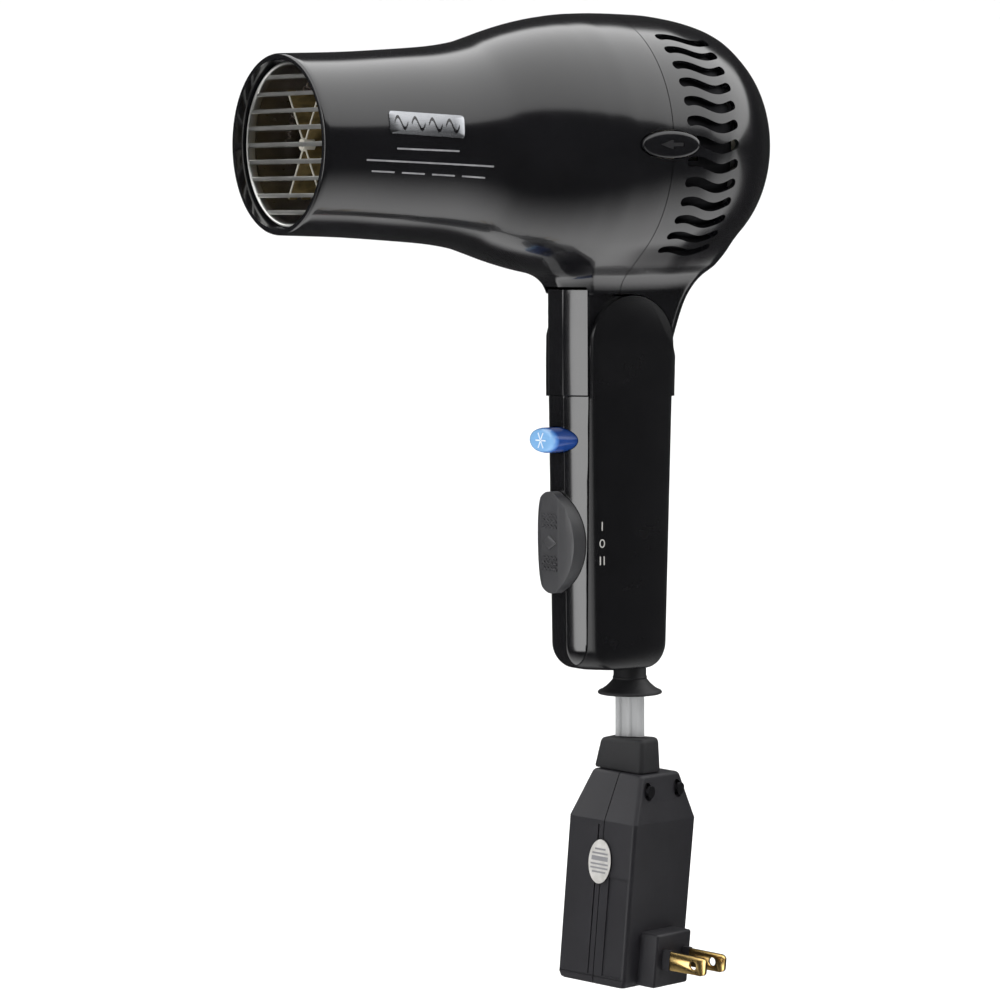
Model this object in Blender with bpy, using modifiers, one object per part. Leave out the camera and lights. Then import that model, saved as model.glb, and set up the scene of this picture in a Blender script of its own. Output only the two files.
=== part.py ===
"""Travel hair dryer with a folding handle, a cord that winds into the housing and a plug-in leakage breaker.

Lengths are in millimetres; MM turns them into Blender's metres. +X points to the rear of the barrel, so the
air leaves towards -X. +Z is up, and the handle stands upright. The origin is the middle of the grip.
"""

import math

import bmesh
import bpy
from mathutils import Matrix, Vector

MM = 0.001
GAP = 0.3

# Places
HINGE_Z = 65.0
BARREL_Z = HINGE_Z + 69.0
SPLIT_X = -6.0
NOZZLE_X = -134.5

# Barrel outline: distance along the barrel and radius, from the air outlet to the rear dome
BARREL = [
    (-134.5, 30.0), (-114.0, 30.7), (-89.0, 32.3), (-76.0, 33.4), (-64.0, 35.3), (-57.5, 37.2),
    (-51.0, 39.3), (-44.5, 41.2), (-38.0, 42.8), (-30.0, 44.3), (-20.0, 45.5), (-7.0, 46.0),
    (8.0, 45.8), (19.0, 44.7), (29.0, 42.7), (35.0, 40.6), (40.0, 37.4), (45.0, 33.2),
    (50.0, 26.5), (53.5, 19.5), (56.0, 12.0), (57.0, 5.0),
]
WALL = 1.9

# Neck between barrel and handle: height over the hinge, front, rear, half width
NECK = [
    (0.7, -20.5, 19.2, 14.25), (8.5, -21.5, 21.8, 14.25), (14.0, -22.6, 24.0, 14.25),
    (18.0, -23.4, 26.2, 14.4), (20.5, -24.1, 27.8, 14.9), (24.0, -25.0, 30.2, 16.4),
    (28.0, -27.2, 33.6, 19.5), (34.0, -35.0, 35.0, 22.0), (42.0, -35.0, 35.0, 22.0),
]
# Hollow of the neck: height over the hinge, rear
NECK_HOLLOW = [(-6.0, 16.6), (0.7, 16.9), (8.5, 19.4), (14.0, 21.6), (20.0, 24.6), (45.0, 24.6)]
NECK_CORNER = 5.0
NECK_INNER_FRONT, NECK_INNER_BULGE, NECK_INNER_HALF_WIDTH = -22.6, 14.2, 12.7
FRONT_LIP = 20.5
SIDE_LIP = 17.9
REAR_LIP = 0.7
CHEEK_R = 17.3
CHEEK_GAP_R = 17.7

# Air slots: number on each side and the angle they cover, then place and size
VENT_COUNT, VENT_SPAN = 13, 105.0
VENT_X, VENT_LENGTH, VENT_WIDTH, VENT_SWING = 11.7, 23.0, 3.4, 1.3

# Handle
SEAM_X = -17.2
HANDLE_FRONT_TOP, HANDLE_FRONT_BOTTOM = -22.7, -21.2
HANDLE_REAR_TOP, HANDLE_REAR_BOTTOM = 18.2, 14.6
HANDLE_HALF_WIDTH = 14.25
HANDLE_WALL = 2.0
HANDLE_CORNER, HANDLE_REAR_CORNER = 9.0, 2.2
# Front of the handle and neck from side to side: depth behind the front, share of the half width
BULGE = [(0.0, 0.0), (0.0, 0.28), (0.35, 0.34), (4.75, 0.82), (4.92, 0.835), (5.4, 0.875), (6.15, 0.93),
         (7.0, 0.97), (8.2, 1.0)]
HANDLE_BOTTOM = HINGE_Z - 113.3
FRONT_SEAM_Z = HINGE_Z - 17.4
STRIP_TOP_Z = HINGE_Z + 19.6
STRIP_HALF_WIDTH, STRIP_THICKNESS = 12.0, 2.6
PIN_R = 4.0
LUG_Y = 9.4
RUNNING_FIT = 0.06

# Controls
COOL_Z = HINGE_Z - 32.6
SLIDER_Z = HINGE_Z - 68.3
SLIDER_SLOT, SLIDER_PROUD = 30.0, 3.9
REWIND_X = -7.3
BRAKE_PIVOT_X, BRAKE_PIVOT_Y = 14.0, -38.8

# Cord and plug
CORD_X = 8.6
CORD_WIDTH, CORD_THICKNESS = 10.6, 3.0
CORD_TURN = math.radians(-50.0)
GROMMET_NECK_R, GROMMET_FLARE_R = 5.8, 11.4
# Below the handle: where the grommet's neck ends, and its flare; above it: where its root ends
GROMMET_NECK, GROMMET_FLARE, GROMMET_FOOT, GROMMET_ROOT = 4.0, 9.2, 10.2, 4.4
PLUG_X = 12.6
PLUG_TURN = math.radians(-69.0)
PLUG_LEAN = math.radians(4.6)
PLUG_LEAN_AXIS = (0.559, 0.829, 0.0)
PLUG_TOP = HINGE_Z - 139.0
PLUG_SHOULDER = HINGE_Z - 151.0
PLUG_BOTTOM = HINGE_Z - 225.5
PLUG_HALF_WIDTH, PLUG_HALF_DEPTH = 19.7, 14.2
PLUG_WAIST = PLUG_SHOULDER - 16.5
PLUG_WALL, PLUG_PARTING = 2.2, 1.0
NECK_SOCKET = (14.0, 8.0)
PEDESTAL_LOW, PEDESTAL_HIGH = PLUG_BOTTOM + 0.6, PLUG_BOTTOM + 19.6
BLADE_Z, BLADE_Y = PLUG_BOTTOM + 10.6, 6.35
BLADE_WIDTH, BLADE_THICKNESS, BLADE_TIP = 6.35, 1.5, 39.2
PLUG_SCREW_Y, PLUG_SCREW_Z = 9.6, PLUG_SHOULDER - 5.6
TEST_Z, RESET_Z = PLUG_BOTTOM + 48.0, PLUG_BOTTOM + 36.0
LABEL_Z = PLUG_SHOULDER - 31.0

# Reel
REEL_X0, REEL_X1 = 27.0, 39.0
REEL_HUB_R, REEL_WOUND_R, REEL_FLANGE_R = 11.0, 33.5, 34.3

AXIS_X = Matrix(((0, 0, 1, 0), (0, 1, 0, 0), (-1, 0, 0, 0), (0, 0, 0, 1)))
AXIS_Y = Matrix(((1, 0, 0, 0), (0, 0, 1, 0), (0, -1, 0, 0), (0, 0, 0, 1)))
OUTLINE_XZ = Matrix(((1, 0, 0, 0), (0, 0, -1, 0), (0, 1, 0, 0), (0, 0, 0, 1)))
OUTLINE_YZ = Matrix(((0, 0, 1, 0), (1, 0, 0, 0), (0, 1, 0, 0), (0, 0, 0, 1)))
PLUG_UPRIGHT = Matrix.Rotation(PLUG_TURN, 4, "Z")
PLUG_PLACE = (Matrix.Translation((PLUG_X * MM, 0, PLUG_TOP * MM)) @ Matrix.Rotation(PLUG_LEAN, 4, PLUG_LEAN_AXIS)
              @ PLUG_UPRIGHT @ Matrix.Translation((0, 0, -PLUG_TOP * MM)))


def clear_scene():
    for obj in list(bpy.data.objects):
        bpy.data.objects.remove(obj)


def new_collection(name):
    made = bpy.data.collections.new(name)
    bpy.context.scene.collection.children.link(made)
    return made


def material(name, colour, roughness, metallic=0.0):
    made = bpy.data.materials.new(name)
    made.use_nodes = True
    shader = made.node_tree.nodes["Principled BSDF"]
    shader.inputs["Base Color"].default_value = (*colour, 1.0)
    shader.inputs["Roughness"].default_value = roughness
    shader.inputs["Metallic"].default_value = metallic
    return made


def place(name, mesh, finish=None, matrix=None):
    """A part when it has a finish, otherwise a cutter."""
    obj = bpy.data.objects.new(name, mesh)
    if matrix is not None:
        obj.matrix_world = matrix
    if finish is None:
        CUTTERS.objects.link(obj)
        obj.hide_render = True
        obj.display_type = "WIRE"
    else:
        PARTS.objects.link(obj)
        mesh.materials.append(finish)
        mesh.shade_smooth()
        mesh.set_sharp_from_angle(angle=math.radians(35))
    return obj


def keep(obj, finish):
    """Turns a cutter into a part."""
    CUTTERS.objects.unlink(obj)
    PARTS.objects.link(obj)
    obj.hide_render = False
    obj.display_type = "TEXTURED"
    obj.data.materials.append(finish)


def mesh_from(name, work):
    bmesh.ops.recalc_face_normals(work, faces=work.faces)
    mesh = bpy.data.meshes.new(name)
    work.to_mesh(mesh)
    work.free()
    return mesh


def box(name, low, high, finish=None, matrix=None, bevel=0.0):
    work = bmesh.new()
    bmesh.ops.create_cube(work, size=1.0)
    size = [(b - a) * MM for a, b in zip(low, high)]
    middle = [(a + b) / 2 * MM for a, b in zip(low, high)]
    bmesh.ops.scale(work, vec=size, verts=work.verts)
    bmesh.ops.translate(work, vec=middle, verts=work.verts)
    if bevel:
        bmesh.ops.bevel(work, geom=work.edges, offset=bevel * MM, segments=2, profile=0.5, affect="EDGES")
    return place(name, mesh_from(name, work), finish, matrix)


def slab(work, outline, low, high, matrix=None):
    """A flat outline given thickness along its own third axis, added to a bmesh."""
    corners = [work.verts.new((x * MM, y * MM, low * MM)) for x, y in outline]
    face = work.faces.new(corners)
    raised = bmesh.ops.extrude_face_region(work, geom=[face])
    top = [v for v in raised["geom"] if isinstance(v, bmesh.types.BMVert)]
    bmesh.ops.translate(work, vec=(0, 0, (high - low) * MM), verts=top)
    if matrix is not None:
        bmesh.ops.transform(work, matrix=matrix, verts=corners + top)


def plate(name, outline, low, high, finish=None, matrix=None, bevel=0.0):
    work = bmesh.new()
    slab(work, outline, low, high)
    if bevel:
        rims = [e for e in work.edges if abs(e.verts[0].co.z - e.verts[1].co.z) < 1e-9]
        bmesh.ops.bevel(work, geom=rims, offset=bevel * MM, segments=2, profile=0.5, affect="EDGES")
    return place(name, mesh_from(name, work), finish, matrix)


def turned(name, profile, steps, finish=None, matrix=None):
    """A profile of (radius, height) pairs turned about its own third axis."""
    closed = profile[0][0] > 0 and profile[-1][0] > 0
    loop = profile + profile[:1] if closed else profile
    area = sum(a[0] * b[1] - b[0] * a[1] for a, b in zip(loop, loop[1:]))
    points = profile if area < 0 else profile[::-1]
    work = bmesh.new()
    verts = [work.verts.new((radius * MM, 0, height * MM)) for radius, height in points]
    for first, second in zip(verts, verts[1:] + verts[:1] if closed else verts[1:]):
        work.edges.new((first, second))
    mesh = bpy.data.meshes.new(name)
    work.to_mesh(mesh)
    work.free()
    obj = place(name, mesh, finish, matrix)
    screw = obj.modifiers.new("turn", "SCREW")
    screw.steps = steps
    screw.render_steps = steps
    screw.use_merge_vertices = True
    screw.merge_threshold = 0.00001
    screw.use_smooth_shade = True
    return obj


def cylinder(name, radius, low, high, steps=24, finish=None, matrix=None):
    return turned(name, [(0, high), (radius, high), (radius, low), (0, low)], steps, finish, matrix)


def ring(name, inner, outer, low, high, steps=32, finish=None, matrix=None):
    return turned(name, [(outer, high), (outer, low), (inner, low), (inner, high)], steps, finish, matrix)


def loft(name, sections, finish=None, matrix=None):
    """A closed skin through rings that have equal numbers of points."""
    work = bmesh.new()
    rings = [[work.verts.new([c * MM for c in point]) for point in section] for section in sections]
    count = len(rings[0])
    for low, high in zip(rings, rings[1:]):
        for i in range(count):
            j = (i + 1) % count
            work.faces.new((low[i], low[j], high[j], high[i]))
    work.faces.new(rings[0][::-1])
    work.faces.new(rings[-1])
    return place(name, mesh_from(name, work), finish, matrix)


def wire(name, points, radius, finish):
    curve = bpy.data.curves.new(name, "CURVE")
    curve.dimensions = "3D"
    curve.bevel_depth = radius * MM
    curve.bevel_resolution = 2
    curve.use_fill_caps = True
    spline = curve.splines.new("POLY")
    spline.points.add(len(points) - 1)
    for target, point in zip(spline.points, points):
        target.co = (*[c * MM for c in point], 1.0)
    curve.materials.append(finish)
    obj = bpy.data.objects.new(name, curve)
    PARTS.objects.link(obj)
    return obj


def join(target, tool, operation="DIFFERENCE"):
    step = target.modifiers.new(tool.name, "BOOLEAN")
    step.operation = operation
    step.object = tool


def arc(centre, radius, start, end, count):
    """Points on an arc; the angles are in degrees."""
    angles = [math.radians(start + (end - start) * i / (count - 1)) for i in range(count)]
    return [(centre[0] + radius * math.cos(a), centre[1] + radius * math.sin(a)) for a in angles]


def stadium(length, height, count=6):
    """An oval with straight sides, centred on the origin."""
    reach = (length - height) / 2
    right = arc((reach, 0), height / 2, -90, 90, count)
    return right + arc((-reach, 0), height / 2, 90, 270, count)


def oval(half_width, half_height, count):
    angles = [2 * math.pi * i / count for i in range(count)]
    return [(half_width * math.cos(a), half_height * math.sin(a)) for a in angles]


def rounded_rectangle(front, rear, half_width, corner, height, count=4):
    """A ring of (x, y, z) at one height."""
    corners = [((rear - corner, half_width - corner), 0), ((front + corner, half_width - corner), 90),
               ((front + corner, -half_width + corner), 180), ((rear - corner, -half_width + corner), 270)]
    flat = [p for centre, start in corners for p in arc(centre, corner, start, start + 90, count)]
    return [(x, y, height) for x, y in flat]


def along_x(x=0.0, z=BARREL_Z, y=0.0):
    """Own third axis along +X, placed at a point."""
    return Matrix.Translation((x * MM, y * MM, z * MM)) @ AXIS_X


def around_barrel(angle):
    """The barrel's axis as origin, turned about it by an angle in degrees."""
    return Matrix.Translation((0, 0, BARREL_Z * MM)) @ Matrix.Rotation(math.radians(angle), 4, "X")


def along_y(x, y, z):
    return Matrix.Translation((x * MM, y * MM, z * MM)) @ AXIS_Y


# Housing


def barrel_solid(name, inset, first, last):
    points = [(max(radius - inset, 0.5), x) for x, radius in BARREL]
    points[0] = (points[0][0], first)
    points[-1] = (points[-1][0], last)
    return turned(name, [(0, first)] + points + [(0, last)], 40, None, along_x())


def front_profile(half):
    """The bulged front from side to side: a flat middle, slanting flanks and rounded corners."""
    points = [(depth, half * share) for depth, share in reversed(BULGE)]
    return points + [(x, -y) for x, y in points[-2::-1]]


def bulged_ring(front, rear, half, corner, height, front_half=None):
    """A ring of (x, y, z) at one height, bulged in front; front_half is the bulge's width before it is cut."""
    bulge = [(front + x, y) for x, y in front_profile(front_half or half) if abs(y) <= half]
    corners = [((rear - corner, corner - half), 270), ((rear - corner, half - corner), 0)]
    flat = bulge + [p for centre, start in corners for p in arc(centre, corner, start, start + 90, 4)]
    return [(x, y, height) for x, y in flat]


def neck_outer():
    return loft("neck_outer", [bulged_ring(front, rear, half, NECK_CORNER, HINGE_Z + height)
                               for height, front, rear, half in NECK])


def neck_inner():
    return loft("neck_inner", [bulged_ring(NECK_INNER_FRONT, rear, NECK_INNER_HALF_WIDTH, 2.0, HINGE_Z + height,
                                           NECK_INNER_BULGE) for height, rear in NECK_HOLLOW])


def wave_outline(length, width, swing, count=5):
    """A blunt slot that swings once up and once down along its length."""
    upper, lower = [], []
    for i in range(count):
        share = i / (count - 1)
        x = (share - 0.5) * length
        middle = swing * math.sin(2 * math.pi * share)
        half = width / 2 * min(1.0, 0.6 + 4.0 * min(share, 1 - share))
        upper.append((x, middle + half))
        lower.append((x, middle - half))
    return lower + upper[::-1]


def vent_cutter():
    """Slots side by side around the rear housing, left and right."""
    work = bmesh.new()
    outline = wave_outline(VENT_LENGTH, VENT_WIDTH, VENT_SWING)
    for side in (-1, 1):
        for i in range(VENT_COUNT):
            angle = math.radians(VENT_SPAN * (i / (VENT_COUNT - 1) - 0.5))
            outward = Vector((0, side * math.cos(angle), math.sin(angle)))
            across = outward.cross(Vector((1, 0, 0)))
            turn = Matrix((Vector((1, 0, 0)), across, outward)).transposed().to_4x4()
            middle = Matrix.Translation((VENT_X * MM, 0, BARREL_Z * MM))
            slab(work, outline, 36.0, 50.0, middle @ turn)
    return place("vent_cutter", mesh_from("vent_cutter", work))


def housings():
    neck, hollow_neck = neck_outer(), neck_inner()
    hollow = barrel_solid("barrel_hollow", WALL, NOZZLE_X - 1.0, 55.0)
    below = box("under_side_lip", (-60, -40, 20), (60, 40, HINGE_Z + REAR_LIP))
    front_lip = box("under_front_lip", (-60, -13, 20), (0, 13, HINGE_Z + FRONT_LIP))
    side_lip = box("under_front_sides", (-60, -40, 20), (0, 40, HINGE_Z + SIDE_LIP))
    cheeks = cylinder("cheek_clearance", CHEEK_GAP_R, -40, 40, 40, None, along_y(0, 0, HINGE_Z))
    button_hole = plate("rewind_hole", oval(12.35, 4.95, 40), 30, 60, None,
                        Matrix.Translation((REWIND_X * MM, 0, BARREL_Z * MM)) @ OUTLINE_XZ)
    for name, low, high in (("front_housing", -150, SPLIT_X), ("rear_housing", SPLIT_X + GAP, 80)):
        shell = barrel_solid(name, 0.0, NOZZLE_X, BARREL[-1][0])
        keep(shell, FINISH["gloss_black"])
        join(shell, neck, "UNION")
        for tool in (hollow, hollow_neck, below, front_lip, side_lip, cheeks, button_hole):
            join(shell, tool)
        if name == "rear_housing":
            join(shell, vent_cutter())
        join(shell, box(name + "_half", (low, -80, 0), (high, 80, 200)), "INTERSECT")


def outlet_grille():
    """A ring with level bars, set back in the outlet."""
    grille = ring("outlet_grille", 26.2, 27.6, -130.6, -127.6, 40, FINISH["pale_metal"], along_x())
    pitch, half_bar = 5.6, 0.7
    for i in range(9):
        height = (i - 4) * pitch
        reach = math.sqrt(26.9 ** 2 - height ** 2)
        bar = box(f"grille_bar_{i}", (-130.4, -reach, BARREL_Z + height - half_bar),
                  (-128.4, reach, BARREL_Z + height + half_bar))
        join(grille, bar, "UNION")


def heater():
    mica = FINISH["mica"]
    ring("heat_shield", 27.0, 27.9, -126.8, -64.0, 40, FINISH["steel"], along_x())
    frame = cylinder("mica_frame", 3.0, -124.0, -68.0, 12, mica, along_x())
    for i in range(3):
        turn = around_barrel(60 * i)
        join(frame, box(f"mica_fin_{i}", (-123.5, -20.8, -0.5), (-68.5, 20.8, 0.5), None, turn), "UNION")
    turns, points = 5, 10
    coil = []
    for i in range(turns * points + 1):
        angle = 2 * math.pi * i / points
        coil.append((-118.0 + 44.0 * i / (turns * points), 23.6 * math.cos(angle),
                     BARREL_Z + 23.6 * math.sin(angle)))
    wire("heater_coil", coil, 1.1, FINISH["heating_wire"])
    for name, angle in (("thermostat", 0), ("thermal_fuse", 60)):
        spot = around_barrel(angle)
        if name == "thermostat":
            box(name, (-98, -4.2, 10.5), (-84, 4.2, 15.5), FINISH["steel"], spot, 0.6)
        else:
            cylinder(name, 1.7, -112, -100, 12, FINISH["steel"], spot @ Matrix.Translation((0, 0, 0.012)) @ AXIS_X)


def fan_drive():
    cylinder("motor", 13.5, -46, -17, 32, FINISH["steel"], along_x())
    cylinder("motor_shaft", 1.0, -16.6, 3.0, 12, FINISH["steel"], along_x())
    profile = [(36.6, 1.5), (36.6, -40.0), (37.0, -44.0), (37.0, -50.0), (35.6, -50.0), (35.6, -44.0),
               (35.0, -40.0), (35.0, 1.5)]
    mount = turned("motor_mount", profile, 40, FINISH["ivory_plastic"], along_x())
    join(mount, ring("motor_cup", 13.9, 15.6, -46, -20, 32, None, along_x()), "UNION")
    for i in range(5):
        turn = around_barrel(72 * i)
        join(mount, box(f"stator_vane_{i}", (-44, -0.8, 15.0), (-26, 0.8, 35.6), None, turn), "UNION")
    impeller = turned("fan_impeller", [(1.06, 1.0), (9.0, 1.0), (12.0, -3.0), (12.5, -14.5), (11.0, -14.5),
                                       (10.5, -4.0), (1.06, -4.0)], 32, FINISH["grey_plastic"], along_x())
    for i in range(7):
        turn = (around_barrel(360 * i / 7) @ Matrix.Translation((-7.0 * MM, 0, 0))
                @ Matrix.Rotation(math.radians(38), 4, "Z"))
        join(impeller, box(f"fan_blade_{i}", (-0.7, -6.5, 11.6), (0.7, 6.5, 33.6), None, turn), "UNION")


def lint_screen():
    """A thin liner inside the air slots, open below where the handle's strip swings."""
    outer = [(radius - WALL - 0.4, x) for x, radius in BARREL if 5 < x < 20]
    outer = [(45.9 - WALL - 0.4, 1.8)] + outer + [(44.2 - WALL - 0.4, 21.5)]
    inner = [(radius - 0.7, x) for radius, x in reversed(outer)]
    screen = turned("lint_screen", outer + inner, 40, FINISH["dark_metal"], along_x())
    join(screen, box("screen_opening", (0, -16, 60), (30, 16, BARREL_Z)))
    join(screen, box("screen_button_opening", (0, -60, BARREL_Z - 5.4), (6.4, -30, BARREL_Z + 5.4)))


def cord_reel():
    ivory = FINISH["ivory_plastic"]
    outline = [(REEL_HUB_R - GAP, REEL_X1), (REEL_FLANGE_R, REEL_X1), (REEL_FLANGE_R - 1.2, REEL_X1 + 1.2),
               (9.0, REEL_X1 + 1.2), (9.0, REEL_X0 - 1.2), (REEL_FLANGE_R, REEL_X0 - 1.2),
               (REEL_FLANGE_R, REEL_X0), (REEL_HUB_R - GAP, REEL_X0)]
    reel = turned("cord_reel", outline, 40, ivory, along_x())
    notches = 12
    for i in range(notches):
        turn = around_barrel(360 * (i + 0.5) / notches)
        join(reel, box(f"brake_notch_{i}", (REEL_X0 - 2, -1.2, 32.8), (REEL_X0 - 0.2, 1.2, 36.0), None, turn))
    web = ring("reel_web", 2.6, 10.0, REEL_X1 - 0.6, REEL_X1 + 1.2, 24, None, along_x())
    join(reel, web, "UNION")
    ring("cord_winding", REEL_HUB_R, REEL_WOUND_R, REEL_X0 + GAP, REEL_X1 - GAP, 40, FINISH["cord"], along_x())
    ring("rewind_spring", 4.5, 8.6, REEL_X0, REEL_X1 - 1.2, 24, FINISH["steel"], along_x())
    cylinder("reel_axle", 2.5, REEL_X0 - 4.0, 50.0, 16, FINISH["steel"], along_x())


def rewind_parts():
    place_button = Matrix.Translation((REWIND_X * MM, 0, BARREL_Z * MM)) @ OUTLINE_XZ
    button = plate("rewind_button", oval(12.0, 4.6, 36), 43.8, 47.4, FINISH["gloss_black"], place_button, 0.5)
    post = box("rewind_post", (-1.1, -2.0, 41.1), (3.9, 2.0, 45.0), None, place_button)
    join(button, post, "UNION")
    arrow = plate("rewind_arrow", [(-6.5, 0.0), (1.0, 2.6), (1.0, 0.9), (6.0, 0.9), (6.0, -0.9), (1.0, -0.9),
                                   (1.0, -2.6)], 46.9, 49, None, place_button)
    join(button, arrow)
    lever = [(-4.5, -40.6), (6.5, -39.9), (12.0, -39.5), (25.0, -39.4), (26.6, -39.2), (26.6, -35.8),
             (26.2, -34.9), (25.6, -35.8), (25.6, -37.9), (12.0, -38.1), (6.5, -38.5), (-4.5, -39.2)]
    holder = Matrix.Translation((0, 0, BARREL_Z * MM))
    brake = plate("brake_lever", lever, -2.5, 2.5, FINISH["ivory_plastic"], holder)
    pivot_place = Matrix.Translation((BRAKE_PIVOT_X * MM, BRAKE_PIVOT_Y * MM, BARREL_Z * MM))
    join(brake, cylinder("brake_boss", 1.8, -2.5, 2.5, 16, None, pivot_place), "UNION")
    join(brake, cylinder("brake_pivot_hole", 0.8 + RUNNING_FIT, -9, 9, 12, None, pivot_place))
    cylinder("brake_pivot", 0.8, -6.0, 6.0, 12, FINISH["steel"], pivot_place)


def barrel_electronics():
    box("ion_generator", (-16, -9, BARREL_Z + 37.6), (-5, 9, BARREL_Z + 41.2), FINISH["ivory_plastic"], None, 0.5)
    outline = [(-15.8, -4.6), (15.8, -4.6), (15.8, 4.6), (-15.8, 4.6)]
    centre_x, radius = -97.0, 32.0
    turn = (around_barrel(-13) @ Matrix.Translation((centre_x * MM, 0, 0))
            @ Matrix.Rotation(math.radians(-4.0), 4, "Z") @ OUTLINE_XZ)
    plate("badge", outline, radius + 0.35, radius + 1.0, FINISH["silver"], turn)


# Hinge


def hinge():
    for side, name in ((-1, "left"), (1, "right")):
        cylinder(f"hinge_pin_{name}", PIN_R, -2.6, 2.6, 24, FINISH["steel"], along_y(0, side * 10.7, HINGE_Z))
        outline = arc((0, 0), 7.6, 100, 320, 14) + [(16.0, 4.0), (17.6, 14.0), (20.6, 21.0), (13.5, 21.0)]
        lug = plate(f"hinge_lug_{name}", [(x, z + HINGE_Z) for x, z in outline], -1.1, 1.1, FINISH["steel"],
                    Matrix.Translation((0, side * LUG_Y * MM, 0)) @ OUTLINE_XZ)
        join(lug, cylinder(f"hinge_hole_{name}", PIN_R + RUNNING_FIT, -9, 9, 24, None,
                           along_y(0, side * LUG_Y, HINGE_Z)))


# Handle


def handle_edges(height):
    """Front, rear and half width of the handle at a height, with the rounded bottom end."""
    share = (HINGE_Z - height) / (HINGE_Z - HANDLE_BOTTOM)
    front = HANDLE_FRONT_TOP + (HANDLE_FRONT_BOTTOM - HANDLE_FRONT_TOP) * share
    rear = HANDLE_REAR_TOP + (HANDLE_REAR_BOTTOM - HANDLE_REAR_TOP) * share
    left = height - HANDLE_BOTTOM
    corner = HANDLE_CORNER
    inset = corner - math.sqrt(max(corner ** 2 - (corner - left) ** 2, 0.0)) if left < corner else 0.0
    return front + inset, rear - 0.7 * inset, HANDLE_HALF_WIDTH - 0.35 * inset


def handle_ring(height, inset=0.0):
    """A section with a bulged front and a nearly square rear."""
    front, rear, half = handle_edges(height)
    front, rear, half = front + inset, rear - inset, half - inset
    return bulged_ring(front, rear, half, HANDLE_REAR_CORNER, height)


def handle_solid(name, inset, top, bottom):
    cuts = [top, (top + bottom) / 2, HANDLE_BOTTOM + 10.0]
    cuts += [HANDLE_BOTTOM + step for step in (6.0, 3.0, 1.2) if HANDLE_BOTTOM + step > bottom]
    return loft(name, [handle_ring(height, inset) for height in cuts + [bottom]])


def cheek_outline():
    """Side plate: round on the hinge, then down to the body of the handle."""
    top = arc((0, 0), CHEEK_R, -2, 170, 22)
    return top + [(SEAM_X, -5.5), (SEAM_X, -18.0), (HANDLE_REAR_TOP - 0.5, -18.0), (HANDLE_REAR_TOP - 0.1, -4.0)]


def handle():
    rear_top = HINGE_Z + 0.3
    hollow = handle_solid("handle_hollow", HANDLE_WALL, HINGE_Z + 12.0, HANDLE_BOTTOM + HANDLE_WALL)
    shell = handle_solid("handle_rear_shell", 0.0, rear_top, HANDLE_BOTTOM)
    cover = handle_solid("handle_front_cover", 0.0, rear_top, HANDLE_BOTTOM)
    keep(shell, FINISH["matte_black"])
    keep(cover, FINISH["gloss_black"])
    side = Matrix.Translation((0, 0, HINGE_Z * MM)) @ OUTLINE_XZ
    cheeks = plate("cheek_plates", cheek_outline(), -HANDLE_HALF_WIDTH, HANDLE_HALF_WIDTH, None, side)
    join(shell, cheeks, "UNION")
    join(shell, box("rear_half", (SEAM_X, -30, -60), (60, 30, 100)), "INTERSECT")
    inner = HANDLE_HALF_WIDTH - HANDLE_WALL
    join(shell, hollow)
    join(shell, box("between_cheeks", (-30, -inner, HINGE_Z - 19.0), (16.2, inner, HINGE_Z + 30)))
    join(shell, box("behind_hinge", (0, -inner, HINGE_Z - 0.5), (30, inner, HINGE_Z + 30)))
    sockets = cylinder("pin_sockets", PIN_R + RUNNING_FIT, -13.4, 13.4, 24, None, along_y(0, 0, HINGE_Z))
    join(shell, sockets)
    grommet_hole = cylinder("grommet_hole", GROMMET_NECK_R + GAP, HANDLE_BOTTOM - 5, HANDLE_BOTTOM + 9, 24, None,
                            Matrix.Translation((CORD_X * MM, 0, 0)))
    join(shell, grommet_hole)
    join(cover, box("front_half", (-60, -30, -60), (SEAM_X - GAP, 30, FRONT_SEAM_Z)), "INTERSECT")
    join(cover, hollow)
    face = Matrix.Translation((0, 0, COOL_Z * MM)) @ OUTLINE_YZ
    cool_hole = plate("cool_hole", oval(8.8, 4.8, 24), -30, -10, None, face)
    join(cover, cool_hole)
    join(shell, cool_hole)
    slot_place = Matrix.Translation((0, 0, SLIDER_Z * MM)) @ OUTLINE_YZ @ Matrix.Rotation(math.pi / 2, 4, "Z")
    join(cover, plate("slider_slot", stadium(SLIDER_SLOT, 5.2), -30, -10, None, slot_place))
    for i, height in enumerate((HINGE_Z - 24.0, HINGE_Z - 92.0)):
        _, rear, _ = handle_edges(height)
        spot = along_x(rear, height)
        join(shell, cylinder(f"screw_hole_{i}", 1.7, -9, 9, 16, None, spot))
        join(shell, cylinder(f"screw_seat_{i}", 3.1, -1.0, 9, 16, None, spot))
        name = ("upper", "lower")[i]
        head = turned(f"handle_screw_{name}", [(0, -0.3), (1.8, -0.3), (2.8, -0.7), (1.4, -0.7 - GAP),
                                               (1.4, -3.4), (0, -4.2)][::-1], 16, FINISH["steel"], spot)
        join(head, box(f"drive_slot_{i}", (-1.0, -0.35, -2.6), (1.0, 0.35, 2.6), None,
                       Matrix.Translation((rear * MM, 0, height * MM))))


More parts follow.
